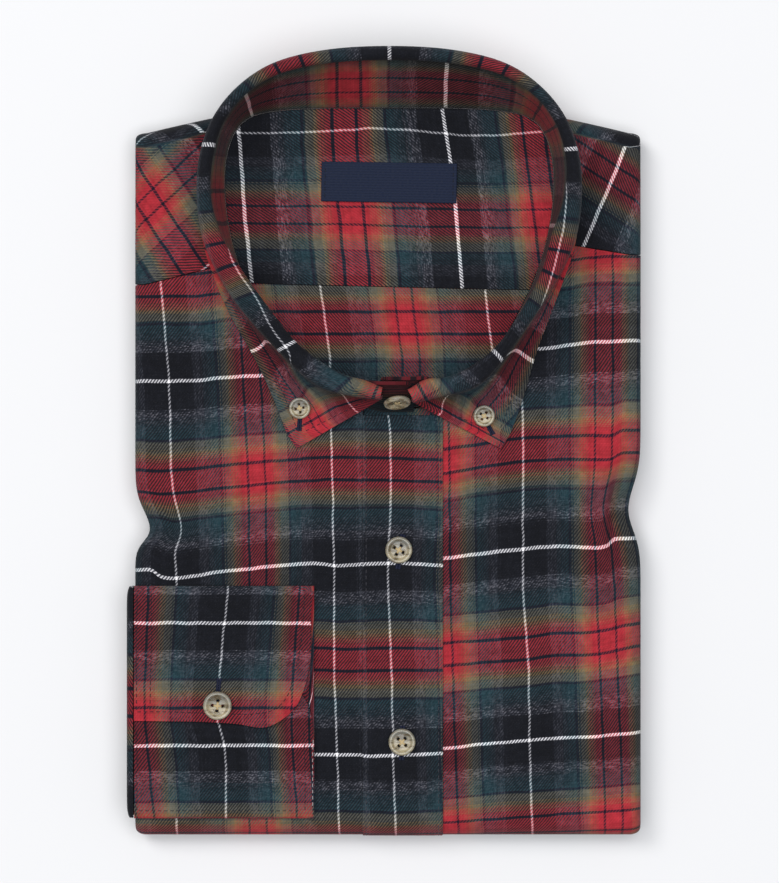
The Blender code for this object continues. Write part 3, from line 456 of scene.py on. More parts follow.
# A point of the packet is where a column meets a row. "laid" is where the column or row would lie if the
# cloth were opened out flat, which places the plaid on it. Left and right are as seen from above; the names
# of pieces keep to the wearer's left and right.
Column = namedtuple("Column", "kind side value height laid")
Row = namedtuple("Row", "zone value laid")
ROLL_X = HALF_WIDTH - ROLL_REACH


def arc_length(reach, height, angle):
    """Length of an oval turn from its top down to an angle in degrees."""
    total = 0.0
    for index in range(int(abs(angle))):
        here = math.radians(index + 0.5)
        total += math.hypot(reach * math.cos(here), height * math.sin(here)) * math.radians(1)
    return total


def flat(x):
    """Column on the flat of the packet."""
    return Column("flat", 0, x, 0.0, x)


def roll(side, angle):
    """Column on the roll at one side, this many degrees down from the top."""
    laid = ROLL_X + arc_length(ROLL_REACH, (HALF_THICK - LAYER_ZONE) / 2, angle)
    return Column("roll", side, angle, 0.0, MIDDLE_X + side * laid)


def layer(side, reach, height):
    """Column on the layers inside a side's slit, this far in from the packet's edge."""
    return Column("layer", side, reach, height, MIDDLE_X + side * (HALF_WIDTH + SLIT_DEPTH - reach))


def pinch_depth(side, y):
    """How far the packet's side is drawn in at y."""
    total = 0.0
    for pinch in PINCHES:
        if pinch.side == side:
            reach = pinch.above if y > pinch.y else pinch.below
            total += pinch.depth * math.exp(-((y - pinch.y) / reach) ** 2)
    return total


def crease_height(x, y):
    """How far the creases raise or lower the show face at x, y."""
    total = 0.0
    for crease in CREASES:
        away_x, away_y = x - crease.x, y - crease.y
        if abs(away_x) + abs(away_y) > 3.5 * crease.along:
            continue
        turn = math.radians(crease.turn)
        along = away_x * math.cos(turn) + away_y * math.sin(turn)
        across = away_y * math.cos(turn) - away_x * math.sin(turn)
        total += crease.height * math.exp(-(along / crease.along) ** 2 - (across / crease.across) ** 2)
    return total


def top_height(x, y):
    """Height of the show face over the packet's middle plane."""
    return HALF_THICK + crease_height(x, y) - SHOULDER_DROP * smooth(y, SHOULDER_DROP_FROM, SHOULDER_DROP_TO)


def under_height(x):
    """Depth of the underside, drawn in where the placket runs under it."""
    left = smooth(x, *(PLACKET_LEFT - away for away in PLACKET_STEP_LEFT))
    right = smooth(x, *(PLACKET_RIGHT + away for away in PLACKET_STEP_RIGHT))
    return HALF_THICK - PLACKET_LIFT * min(left, right)


def top_fold_y(x):
    """Outermost line of the fold along the shoulders and the back of the neck."""
    share = min(abs(x - MIDDLE_X) / HALF_WIDTH, 1.0)
    return BACK_Y - SHOULDER_SLOPE * share ** SHOULDER_POWER


def yoke_seam_y(x):
    """Where the seam between fronts and yoke lies."""
    side_y, rise = YOKE_SEAM_LEFT if x < MIDDLE_X else YOKE_SEAM_RIGHT
    return side_y + rise * (HALF_WIDTH - abs(x - MIDDLE_X))


def row_y(row, x):
    """Where a row lies at x, before it turns over a fold."""
    turn_start = top_fold_y(x) - TOP_REACH
    if row.zone == "front":
        follow = smooth(row.value, SEAM_FADE_Y, YOKE_SEAM_LEVEL)
        return row.value + follow * (yoke_seam_y(x) - YOKE_SEAM_LEVEL)
    if row.zone == "yoke":
        return mix(yoke_seam_y(x), turn_start, row.value)
    if row.zone == "under_yoke":
        return mix(YOKE_HEM_Y, turn_start, row.value)
    if row.zone == "under":
        return row.value
    return turn_start if row.zone == "top_turn" else BOTTOM_Y + BOTTOM_REACH


def packet_point(column, row, outset=0.0):
    """A point of the packet's surface, moved out along its normal."""
    edge = MIDDLE_X + column.side * HALF_WIDTH
    rest_x = column.value if column.kind == "flat" else edge - column.side * ROLL_REACH
    y = row_y(row, rest_x)
    for side in (-1, 1):
        distance = abs(MIDDLE_X + side * ROLL_X - rest_x)
        if distance < PINCH_SPREAD:
            rest_x -= side * pinch_depth(side, y) * (1 - smooth(distance, 0, PINCH_SPREAD))
    full_up, full_down = top_height(rest_x, y), under_height(rest_x)
    outward = outset
    if column.kind == "flat":
        x, up, down, level = rest_x, full_up, full_down, HALF_THICK
    elif column.kind == "roll":
        angle = math.radians(column.value)
        x = rest_x + column.side * (ROLL_REACH + outset) * math.sin(angle)
        outward = outset * math.cos(angle)
        up, down, level = (mix(LAYER_ZONE, full, (1 + math.cos(angle)) / 2)
                           for full in (full_up, full_down, HALF_THICK))
    else:
        drawn = pinch_depth(column.side, y) if column.value < SLIT_DEPTH else 0.0
        x = edge - column.side * (column.value + drawn)
        up = down = level = column.height
        outward = 0.0
    if row.zone in ("front", "yoke"):
        return Vector((x, y, HALF_THICK + up + outward))
    if row.zone in ("under", "under_yoke"):
        return Vector((x, y, HALF_THICK - down - outward))
    angle = math.radians(row.value)
    reach, direction = (BOTTOM_REACH, -1) if row.zone == "bottom_turn" else (TOP_REACH, 1)
    rise = (up if row.value < 90 else down) + outward
    press = BOTTOM_PRESS if row.zone == "bottom_turn" else 1.0
    y += direction * (reach * level / HALF_THICK + outward * press) * math.sin(angle)
    return Vector((x, y, HALF_THICK + rise * math.cos(angle)))


def show_z(x, y):
    """Height off the table of the show face at x, y."""
    past = (y - (top_fold_y(x) - TOP_REACH)) / TOP_REACH
    return HALF_THICK + top_height(x, y) * math.sqrt(1 - min(max(past, 0.0), 1.0) ** 2)


FRONT_SPACING = 1.9 * MM
TURN_STEP = 10
ROLL_STEP = 9
BOTTOM_START = BOTTOM_Y + BOTTOM_REACH
BOTTOM_ARC = arc_length(BOTTOM_REACH, HALF_THICK, 180)
TOP_ARC = arc_length(TOP_REACH, HALF_THICK, 180)
LEFT_ROLL = [roll(-1, angle) for angle in evenly(ROLL_END, 0, ROLL_STEP)]
RIGHT_ROLL = [roll(1, angle) for angle in evenly(0, ROLL_END, ROLL_STEP)]
FRONT_ROWS = [Row("front", y, y) for y in evenly(YOKE_SEAM_LEVEL, BOTTOM_START, FRONT_SPACING)[:-1]]
BOTTOM_ROWS = [Row("bottom_turn", angle, BOTTOM_START - arc_length(BOTTOM_REACH, HALF_THICK, angle))
               for angle in evenly(0, 180, TURN_STEP)]
UNDER_ROWS = [Row("under", y, 2 * BOTTOM_START - BOTTOM_ARC - y)
              for y in evenly(BOTTOM_START, FRONT_HEM_Y, 3 * FRONT_SPACING)[1:]]


def under_yoke_row(share):
    """Row on the underside of the yoke, from its hem (0) to the fold along the top (1)."""
    return Row("under_yoke", share, mix(2 * BACK_Y - YOKE_HEM_Y, BACK_Y + TOP_ARC - TOP_REACH, share))


YOKE_ROWS = [Row("yoke", share, None) for share in evenly(0.0, 1.0, 0.025)[:-1]]
TOP_ROWS = [Row("top_turn", angle, BACK_Y - TOP_REACH + arc_length(TOP_REACH, HALF_THICK, angle))
            for angle in evenly(0, 180, TURN_STEP)]
YOKE_HEM_ROWS = [under_yoke_row(share) for share in (0.0, 0.5)]
# The layers inside a slit: how far each lies in from the packet's edge and over its middle plane.
LAYER_SIDES = ((5.2, 2.5), (3.6, 2.45), (2.5, 2.2), (2.2, 1.85), (2.7, 1.45), (4.2, 1.25), (7.0, 1.15),
               (4.6, 0.95), (3.3, 0.8), (2.8, 0.45), (2.8, 0.0))
LAYER_ROLL_FROM = 110                # where the layers inside come into view under the rolls
HIDDEN_STRIP = (86 * MM, 122 * MM)
HIDDEN_WARP = 20 * MM


def through(times, values, at):
    """Smooth curve through values at increasing times, level past both ends."""
    if at <= times[0] or at >= times[-1]:
        return values[0] if at <= times[0] else values[-1]
    index = next(i for i in range(len(times) - 1) if at <= times[i + 1])
    low, high, width = values[index], values[index + 1], times[index + 1] - times[index]
    slopes = []
    for i in (index, index + 1):
        before, after = max(i - 1, 0), min(i + 1, len(times) - 1)
        slopes.append((values[after] - values[before]) * (width / (times[after] - times[before])))
    share = (at - times[index]) / width
    square, cube = share ** 2, share ** 3
    return (low * (2 * cube - 3 * square + 1) + slopes[0] * (cube - 2 * square + share)
            + high * (3 * square - 2 * cube) + slopes[1] * (cube - square))


def distances(points):
    """Distance along a line of points to each of them."""
    total = [0.0]
    for before, after in zip(points, points[1:]):
        total.append(total[-1] + (after - before).length)
    return total


def refined(points, steps):
    """The same line with this many smooth steps between each two points."""
    times = distances(points)
    made = []
    for index in range(len(points) - 1):
        for part in range(steps):
            made.append(through(times, points, mix(times[index], times[index + 1], part / steps)))
    return made + [points[-1]]


def grid_faces(row_count, column_count, flip=False):
    """Quads of a grid of points stored row by row."""
    faces = []
    for row in range(row_count - 1):
        for column in range(column_count - 1):
            first, below = row * column_count + column, (row + 1) * column_count + column
            face = (first, below, below + 1, first + 1)
            faces.append(tuple(reversed(face)) if flip else face)
    return faces


def smooth_piece(name, points, faces, look):
    """A smooth mesh that rides on the shirt."""
    mesh = bpy.data.meshes.new(name)
    mesh.from_pydata([tuple(point) for point in points], [], faces)
    mesh.shade_smooth()
    mesh.materials.append(look)
    made = put_in_scene(name, mesh)
    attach(made, "root")
    return made


def sewn_mesh(name, points, faces, counts, look=flannel):
    """The same, with the cloth coordinates of each of its points."""
    made = smooth_piece(name, points, faces, look)
    places = []
    for loop in made.data.loops:
        places += counts[loop.vertex_index]
    made.data.uv_layers.new(name="cloth").data.foreach_set("uv", places)
    return made


EDGE_ROUND = 0.35                    # share of a cloth's thickness over which its edges are rounded


def cloth_wall(made, wall, outwards=False):
    """Gives a sheet of cloth its thickness, with soft folded edges."""
    solidify = made.modifiers.new("wall", 'SOLIDIFY')
    solidify.thickness = wall
    solidify.offset = 1.0 if outwards else -1.0
    solidify.use_even_offset = False
    bevel = made.modifiers.new("folded_edge", 'BEVEL')
    bevel.width = EDGE_ROUND * wall
    bevel.segments = 2
    bevel.limit_method = 'ANGLE'
    bevel.angle_limit = math.radians(65)
    return made


def grid_sheet(name, rows, counts, wall, outwards=False, flip=False, look=flannel):
    """A sheet of cloth through rows of points, each with its cloth coordinates."""
    points = [point for row in rows for point in row]
    made = sewn_mesh(name, points, grid_faces(len(rows), len(rows[0]), flip=flip),
                     [count for row in counts for count in row], look)
    return cloth_wall(made, wall, outwards)


def laid_place(column, row):
    """Where a point of the packet would lie if the cloth were opened out flat."""
    y = row.laid
    if row.zone in ("front", "yoke"):
        y = row_y(row, column.laid if column.kind == "flat" else MIDDLE_X + column.side * ROLL_X)
    return column.laid, y


def make_folded_layers():
    """Two side edges and the strip underneath; the rest of these layers can't be seen."""
    inset = -(CLOTH_WALL + INSIDE_GAP / 4)
    round_trip = FRONT_ROWS + BOTTOM_ROWS + UNDER_ROWS + YOKE_HEM_ROWS + TOP_ROWS[::-1] + YOKE_ROWS[::-1]
    grids = []
    for side, rolled in ((-1, LEFT_ROLL), (1, RIGHT_ROLL)):
        edges = [layer(side, reach * MM, height * MM) for reach, height in LAYER_SIDES]
        under_roll = [column for column in rolled if column.value >= LAYER_ROLL_FROM]
        grids.append((edges[::-1] + under_roll if side < 0 else under_roll + edges, round_trip))
    strip = [flat(x) for x in evenly(MIDDLE_X - ROLL_X, MIDDLE_X + ROLL_X, 3 * FRONT_SPACING)]
    strip_rows = [Row("under", y, y) for y in evenly(*HIDDEN_STRIP, 2 * FRONT_SPACING)]
    grids.append((LEFT_ROLL + strip[1:-1] + RIGHT_ROLL, strip_rows))
    points, faces, counts = [], [], []
    for columns, rows in grids:
        first = len(points)
        for row in rows:
            points += [packet_point(column, row, inset) for column in columns]
            counts += [(column.laid + HIDDEN_WARP, laid_place(column, row)[1]) for column in columns]
        faces += [tuple(first + corner for corner in face) for face in grid_faces(len(rows), len(columns))]
    return cloth_wall(sewn_mesh("hidden_layers", points, faces, counts), CLOTH_WALL)


folded_layers = make_folded_layers()
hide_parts("folded_layers")

# ---- Neck seam ---------------------------------------------------------------------------
# The line round the neck where fronts, yoke and lining are sewn to the collar. The collar's sections run
# from the front (first) round to the back (last) and are the same on both sides.
# "neck" is the neck seam, "seam" joins stand and leaf, "roll" is the leaf's outermost line, "edge" its free
# edge. edge_z is the edge's height off the table where it hangs free behind the shoulders.
Section = namedtuple("Section", "neck_x neck_y seam_x seam_y seam_z roll_x roll_y edge_x edge_y edge_z")
COLLAR = tuple(Section(*(value * MM for value in row)) for row in (
    (7.35, 15.6, 7.35, 27.5, 45.5, 8.4, 19.6, 45.8, -2.3, 0),
    (16.9, 18.6, 15.6, 28.4, 46.5, 21.1, 21.1, 50.3, 4.8, 0),
    (29.4, 26.5, 26.7, 32.2, 47.5, 36.1, 25.6, 55.0, 17.2, 0),
    (47.2, 42.9, 42.1, 44.0, 49.0, 50.1, 39.3, 63.3, 39.0, 0),
    (60.6, 63.6, 57.0, 64.6, 50.5, 67.0, 60.6, 72.4, 58.6, 0),
    (66.9, 78.5, 66.6, 78.8, 51.5, 76.0, 75.4, 79.0, 75.2, 0),
    (71.1, 93.0, 74.2, 91.8, 52.0, 82.6, 90.4, 83.7, 90.4, 0),
    (73.7, 109.5, 78.9, 108.4, 52.0, 85.3, 107.6, 85.4, 107.8, 0),
    (73.5, 127.0, 78.3, 125.8, 51.0, 84.6, 126.0, 84.6, 126.6, 24.6),
    (69.3, 140.2, 73.6, 142.2, 49.0, 79.0, 143.6, 78.8, 144.4, 22.8),
    (61.4, 147.3, 63.6, 155.2, 46.5, 67.8, 158.4, 67.2, 159.6, 14.0),
    (47.8, 150.0, 48.7, 164.4, 44.5, 51.4, 169.4, 51.0, 170.8, 8.0),
    (26.6, 150.9, 26.7, 169.2, 43.5, 28.0, 175.3, 28.0, 176.5, 6.6),
    (0.0, 151.0, 0.0, 170.6, 43.0, 0.0, 177.0, 0.0, 178.0, 6.4),
))
LEFT_SEAM_LEAN = tuple(lean * MM for lean in (0, 1, 3, 4.5, 4.7, 1.8, -2.4, -1.5, 0, 0, 0, 0, 0))
COLLAR_STEPS = 10                    # stations between each two sections
NECK_STEPS = 4                       # and on the neck seam's own line
COLLAR_MIDDLE_X = 2.4 * MM
COLLAR_SKEW = 4.2 * MM               # how far the collar's middle line swings right towards the front
SKEW_FROM = 70.0 * MM
SKEW_TO = 12.0 * MM
NECK_CENTRE = (3.0 * MM, 86.0 * MM)
NECK_CUT_FROM = 15.0 * MM
NECK_CUT_TO = 70.0 * MM


def spline(values, position):
    """Smooth curve through equally spaced values, read at a fractional index."""
    last = len(values) - 1
    index = min(int(position), last - 1)
    share = position - index
    before, start = values[max(index - 1, 0)], values[index]
    end, after = values[index + 1], values[min(index + 2, last)]
    return start + share * ((end - before) / 2 + share * (
        before - 2.5 * start + 2 * end - after / 2 + share * (
            1.5 * (start - end) + (after - before) / 2)))


def mirrored(section):
    """The same section on the other side of the neck."""
    return Section(*(-value if field.endswith("_x") else value
                     for field, value in section._asdict().items()))


def collar_sections(steps):
    """Sections from the wearer's right front round the back to the left front."""
    left = [section._replace(seam_x=section.seam_x + lean)
            for section, lean in zip(COLLAR[:-1], LEFT_SEAM_LEAN)]
    given = [mirrored(section) for section in COLLAR] + list(reversed(left))
    columns = list(zip(*given))
    return [Section(*(spline(column, step / steps) for column in columns))
            for step in range((len(given) - 1) * steps + 1)]


def collar_x(x, y):
    """Where a collar's x lies, now that its middle line swings aside towards the front."""
    return COLLAR_MIDDLE_X + COLLAR_SKEW * (1 - smooth(y, SKEW_TO, SKEW_FROM)) + x


def neck_line(inset=0.0):
    """The neck seam as a closed line of x, y, from the wearer's right front round the back."""
    sections = collar_sections(NECK_STEPS)
    line = []
    for section in sections + [sections[0]._replace(neck_x=0.0)]:
        x = collar_x(section.neck_x, section.neck_y)
        from_centre = Vector((x - NECK_CENTRE[0], section.neck_y - NECK_CENTRE[1]))
        from_centre *= 1 - inset / from_centre.length
        line.append((NECK_CENTRE[0] + from_centre.x, NECK_CENTRE[1] + from_centre.y))
    return line


def make_neck_cutter():
    """A block in the shape of the neck opening, which cuts it out of fronts and yoke."""
    line = neck_line()
    count = len(line)
    mesh = bpy.data.meshes.new("neck_cutter")
    mesh.from_pydata([(x, y, z) for z in (NECK_CUT_FROM, NECK_CUT_TO) for x, y in line], [],
                     [(i, i + count, (i + 1) % count + count, (i + 1) % count) for i in range(count)]
                     + [tuple(range(count)), tuple(reversed(range(count, 2 * count)))])
    clean = bmesh.new()
    clean.from_mesh(mesh)
    bmesh.ops.recalc_face_normals(clean, faces=clean.faces)
    clean.to_mesh(mesh)
    clean.free()
    return put_in_scene("neck_cutter", mesh)


def with_modifiers_applied(made):
    """The same object, its modifiers worked into its mesh."""
    graph = bpy.context.evaluated_depsgraph_get()
    mesh = bpy.data.meshes.new_from_object(made.evaluated_get(graph))
    made.modifiers.clear()
    made.data = mesh
    return made


neck_cutter = make_neck_cutter()


def cut_neck(made):
    """Cuts the neck opening out of a piece."""
    opening = made.modifiers.new("neck", 'BOOLEAN')
    opening.operation = 'DIFFERENCE'
    opening.object = neck_cutter
    return with_modifiers_applied(made)


# ---- Fronts ----------------------------------------------------------------------------
# Two front panels, buttoned over each other. They roll over the packet's sides, turn under along the
# bottom and run up underneath to the hem.
# Threads that can be followed on a panel: count is the distance in the cloth from a white line, places are
# the points it passes, in millimetres.
ThreadLine = namedtuple("ThreadLine", "count places")
RIGHT_FRONT_WARPS = (
    ThreadLine(0.0, ((73, -100.4), (33, -97.0), (20, -96.3), (-8, -95.8), (-30, -94.7), (-55, -93.8),
                     (-64, -93.2), (-175, -93.2))),
    ThreadLine(36.2, ((73, -62.0), (24, -58.9), (-25, -56.7), (-175, -56.6))),
    ThreadLine(72.4, ((73, -26.5), (6, -23.9), (-55, -22.5), (-90, -22.5), (-124, -21.6), (-175, -20.0))),
)
RIGHT_FRONT_WEFTS = (
    ThreadLine(0.0, ((-112, 28.0), (-87, 28.1), (-80.5, 28.5), (-74, 29.4), (-60, 30.4), (-20, 31.0))),
    ThreadLine(-43.0, ((-110, -17.2), (-101, -17.9), (-76, -15.6), (-51, -13.1), (-24, -11.3),
                       (0, -11.6), (26, -12.6))),
    ThreadLine(-86.0, ((-112, -57.0), (-104.6, -57.0), (-100.4, -60.0), (-94, -60.6), (-85, -59.7),
                       (-74, -57.7), (-58, -56.1), (-44, -54.6), (-28, -54.1), (-20, -55.1), (2, -53.8),
                       (26, -54.8))),
    ThreadLine(-172.0, ((-112, -139.8), (-28, -139.8), (4, -140.3), (26, -139.4))),
)
LEFT_FRONT_WARPS = (
    ThreadLine(-36.2, ((40, 25.0), (-80, 26.3), (-175, 29.5))),
    ThreadLine(0.0, ((46, 62.6), (23, 62.1), (1.5, 62.6), (-66, 62.6), (-84, 63.9), (-102, 65.0),
                     (-134, 65.5), (-165, 66.4), (-175, 67.0))),
    ThreadLine(36.2, ((46, 99.0), (-40, 99.0), (-84, 100.4), (-150, 103.0), (-175, 103.5))),
)
LEFT_FRONT_WEFTS = (
    ThreadLine(0.0, ((27, 40.5), (70, 42.4), (84, 44.2), (93, 45.6), (114, 46.0))),
    ThreadLine(-43.0, ((28, -8.4), (62, -3.0), (94, -2.0), (103, -2.0), (107, 0.5), (114, 0.8))),
    ThreadLine(-86.0, ((27, -51.6), (62.5, -47.5), (79, -46.3), (97, -46.8), (101.5, -46.0), (105, -43.2),
                       (113, -42.6))),
    ThreadLine(-129.0, ((27, -95.0), (54, -93.2), (66, -92.3), (77, -90.5), (93, -90.2), (114, -86.0))),
    ThreadLine(-172.0, ((27, -137.2), (52, -134.4), (66, -133.5), (79, -132.6), (97, -131.7),
                        (115, -129.9))),
    ThreadLine(-215.0, ((27, -175.0), (70, -172.0), (115, -169.0))),
)


def curve_through(places, at):
    """Where a line given by (position, place) pairs in millimetres lies at a position in metres."""
    places = sorted(places)
    return through([place[0] * MM for place in places], [place[1] * MM for place in places], at)


def thread_count(lines, at, across):
    """Cloth coordinate of a place, read between the nearest threads that pass it."""
    crossings = sorted((curve_through(line.places, at), line.count * MM) for line in lines)
    if across <= crossings[0][0] or across >= crossings[-1][0]:
        place, count = crossings[0] if across <= crossings[0][0] else crossings[-1]
        rising = crossings[-1][1] >= crossings[0][1]
        return count + (across - place) * (1 if rising else -1)
    index = next(i for i in range(len(crossings) - 1) if across <= crossings[i + 1][0])
    (start, low), (end, high) = crossings[index], crossings[index + 1]
    return mix(low, high, (across - start) / (end - start))


def packet_counts(columns, rows, warps, wefts):
    """Cloth coordinates of each point of a sheet that lies on the packet."""
    counts = []
    for row in rows:
        line = []
        for column in columns:
            x, y = laid_place(column, row)
            line.append((thread_count(warps, y, x), thread_count(wefts, x, y)))
        counts.append(line)
    return counts


def packet_sheet(name, columns, rows, warps, wefts):
    """A sheet of cloth that lies on the packet."""
    points = [[packet_point(column, row) for column in columns] for row in rows]
    return grid_sheet(name, points, packet_counts(columns, rows, warps, wefts), CLOTH_WALL)


SEAM_GAP = 0.3 * MM
FRONT_JOIN_X = -9.05 * MM
HALF_GAP = SEAM_GAP / 2
FRONT_FLAT_END = -12.4 * MM
front_rows = FRONT_ROWS + BOTTOM_ROWS + UNDER_ROWS
# The left front's columns lie far apart where the placket hides them.
left_flats = [flat(x) for x in evenly(MIDDLE_X - ROLL_X, FRONT_FLAT_END, FRONT_SPACING)[1:]]
left_flats += [flat(PLACKET_LEFT - 0.2 * MM), flat(FRONT_JOIN_X - HALF_GAP)]
right_flats = [flat(x) for x in evenly(FRONT_JOIN_X + HALF_GAP, PLACKET_RIGHT + 0.4 * MM, 4 * FRONT_SPACING)]
right_flats += [flat(x) for x in evenly(PLACKET_RIGHT + 1.5 * MM, MIDDLE_X + ROLL_X, FRONT_SPACING)[:-1]]
front_right = packet_sheet("right_front", LEFT_ROLL + left_flats, front_rows, RIGHT_FRONT_WARPS,
                           RIGHT_FRONT_WEFTS)
front_left = packet_sheet("left_front", right_flats + RIGHT_ROLL, front_rows, LEFT_FRONT_WARPS,
                          LEFT_FRONT_WEFTS)
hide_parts("front_right")
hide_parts("front_left")
for front in (front_right, front_left):
    cut_neck(front)

# ---- Placket ---------------------------------------------------------------------------
# Front band that carries the buttonholes: a strip of the same flannel, folded to two layers and stitched
# down both long edges. It ends under the collar and turns under the packet with the front.
BAND_WALL = 1.2 * MM
PLACKET_WARPS = (
    ThreadLine(0.0, ((15.5, 1.35), (6, 2.7), (-28.2, 3.0), (-58.4, 1.8), (-90.3, 3.0), (-124.5, 3.9),
                     (-140, 4.05), (-175.4, 5.4))),
)
PLACKET_SPACING = 0.72 * MM
PLACKET_STITCHES = (-8.0 * MM, 24.6 * MM)
STITCH_TROUGH = 0.28 * MM            # how deep a row of stitches draws the cloth in, and how wide
STITCH_TROUGH_WIDTH = 0.9 * MM


def stitch_trough(distance):
    """How far the cloth is drawn in at this distance from a row of stitches."""
    return -STITCH_TROUGH * math.exp(-(distance / STITCH_TROUGH_WIDTH) ** 2)


def make_placket():
    rows = [row for row in FRONT_ROWS if row.value < PLACKET_TOP] + BOTTOM_ROWS + UNDER_ROWS
    columns = [flat(x) for x in evenly(PLACKET_LEFT, PLACKET_RIGHT, PLACKET_SPACING)]
    points = []
    for row in rows:
        line = []
        for column in columns:
            trough = sum(stitch_trough(column.value - stitch) for stitch in PLACKET_STITCHES)
            line.append(packet_point(column, row, PLACKET_LIFT + trough))
        points.append(line)
    for point in points[0]:
        point.y = PLACKET_TOP
    return grid_sheet("placket_band", points, packet_counts(columns, rows, PLACKET_WARPS, RIGHT_FRONT_WEFTS),
                      BAND_WALL)


placket = make_placket()
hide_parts("placket")

# ---- Yoke ------------------------------------------------------------------------------
# Outer yoke in two halves, cut on the bias and seamed at the middle of the back, so that the plaid meets
# there at a slant. It covers both shoulders and the fold along the top, and turns down behind.
# Plaid on a panel cut at a slant: for warp and weft the direction in which the count rises, a place where
# it is known, the count there, and how much the cloth is stretched that way.
Slant = namedtuple("Slant", "toward_x toward_y x y count stretch")
YOKE_LEFT_PLAID = (Slant(0.681, -0.733, -101.25, 111.3, 36.2, 1.05),
                   Slant(0.832, 0.554, -103.2, 104.2, 43.0, 1.03))
YOKE_RIGHT_PLAID = (Slant(0.55, 0.83, 98.55, 123.9, 36.2, 1.05),
                    Slant(-0.922, 0.387, 99.8, 112.1, 0.0, 1.04))


def slant_counts(plaid, x, y):
    """Cloth coordinates at x, y on a panel cut at a slant."""
    return tuple(line.count * MM + ((x - line.x * MM) * line.toward_x + (y - line.y * MM) * line.toward_y)
                 / line.stretch for line in plaid)


def make_yoke_half(name, columns, plaid):
    rows = [under_yoke_row(share) for share in evenly(0.0, 1.0, 0.1)[:-1]]
    rows += TOP_ROWS[::-1] + YOKE_ROWS[::-1]
    points, counts = [], []
    for row in rows:
        line = [packet_point(column, row) for column in columns]
        if row == YOKE_ROWS[0]:
            line = [point + Vector((0, SEAM_GAP, 0)) for point in line]
        points.append(line)
        counts.append([slant_counts(plaid, *laid_place(column, row)) for column in columns])
    return grid_sheet(name, points, counts, CLOTH_WALL)


yoke_left_flats = [flat(x) for x in evenly(MIDDLE_X - ROLL_X, MIDDLE_X, FRONT_SPACING)[1:]]
yoke_right_flats = [flat(x) for x in evenly(MIDDLE_X, MIDDLE_X + ROLL_X, FRONT_SPACING)[:-1]]
yoke_halves = [make_yoke_half("yoke_right_shoulder", LEFT_ROLL + yoke_left_flats, YOKE_LEFT_PLAID),
               make_yoke_half("yoke_left_shoulder", yoke_right_flats + RIGHT_ROLL, YOKE_RIGHT_PLAID)]
for half in yoke_halves:
    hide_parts("yoke")
    cut_neck(half)

# ---- Yoke lining and back panel ----------------------------------------------------------
# Inside the neck lie the inner yoke, cut on the straight, and below its seam the inside of the back. Both
# sink a little between the shoulders.
FLOOR_Z = 15.2 * MM                  # height of the hollow between the shoulders
RIM_BELOW = 0.5 * MM                 # how far under the show face the lining meets the neck seam
FRONT_RIM_DROP = 4.2 * MM            # the back panel stays low where it runs under the fronts
FRONT_RIM_FROM = 84.0 * MM
FRONT_RIM_TO = 48.0 * MM
RIM_START = 0.66                     # share of the way out from the middle at which the cloth starts to rise
RIM_POWER = 1.6
NECK_INSET = 0.4 * MM
DISH_ANGLE = 2.0                     # degrees between the hollow's spokes
DISH_RING = 0.03                     # share of a spoke between its rings
LINING_SEAM = (70.6 * MM, -0.024)    # y at the middle line, slope
LINING_WARPS = (
    # across the neck: count rises towards the front
    ThreadLine(0.0, ((-65.9, 139.9), (-49.1, 139.9), (-17.6, 141.2), (-4.1, 142.1), (14, 141), (29.7, 139.5),
                     (47.7, 138.8), (69.1, 140.4))),
    ThreadLine(36.2, ((-70, 103.0), (-31.1, 103), (18.5, 101.7), (71.1, 101))),
    ThreadLine(72.4, ((-60, 66.0), (60, 65.0))),
)
LINING_WEFTS = (
    ThreadLine(0.0, ((139.9, -65.4), (114, -63.5), (91.5, -61.7), (71.3, -59.2))),
    ThreadLine(43.0, ((135.4, -17.8), (106.1, -14.9), (73.5, -11.9))),
    ThreadLine(86.0, ((150, 26.3), (126.6, 30.2), (106.4, 32.4), (71.3, 35.3))),
    ThreadLine(129.0, ((150, 66.0), (71.3, 76.0))),
)
BACK_WARPS = (
    ThreadLine(36.2, ((71.3, -64.5), (38.4, -60.5))),
    ThreadLine(0.0, ((71.3, -28.8), (38.4, -24.3))),
    ThreadLine(-36.2, ((71, 8.1), (38.4, 12.2))),
    ThreadLine(-72.4, ((69.9, 45.7), (43.4, 48.6))),
)
BACK_WEFTS = (ThreadLine(-43.0, ((-60, 54.4), (60, 54.4))), ThreadLine(-86.0, ((-60, 11.4), (60, 11.4))))
NECK_RIM = neck_line(NECK_INSET)


def neck_reach(angle):
    """Distance from the neck's centre to its seam in a direction."""
    return through(RIM_ANGLES, RIM_REACHES, angle)


rim_polar = sorted((math.atan2(y - NECK_CENTRE[1], x - NECK_CENTRE[0]), math.hypot(x - NECK_CENTRE[0],
                    y - NECK_CENTRE[1])) for x, y in NECK_RIM)
rim_polar = ([(angle - math.tau, reach) for angle, reach in rim_polar[-3:]] + rim_polar
             + [(angle + math.tau, reach) for angle, reach in rim_polar[:3]])
RIM_ANGLES = [angle for angle, reach in rim_polar]
RIM_REACHES = [reach for angle, reach in rim_polar]


def dish_point(share, angle):
    """A point of the hollow, this share of the way from its middle to the neck seam."""
    reach = neck_reach(angle)
    rim_x = NECK_CENTRE[0] + reach * math.cos(angle)
    rim_y = NECK_CENTRE[1] + reach * math.sin(angle)
    rim = show_z(rim_x, rim_y) - RIM_BELOW - FRONT_RIM_DROP * smooth(rim_y, FRONT_RIM_FROM, FRONT_RIM_TO)
    rise = max(share - RIM_START, 0.0) / (1 - RIM_START)
    return Vector((mix(NECK_CENTRE[0], rim_x, share), mix(NECK_CENTRE[1], rim_y, share),
                   mix(FLOOR_Z, rim, rise ** RIM_POWER)))


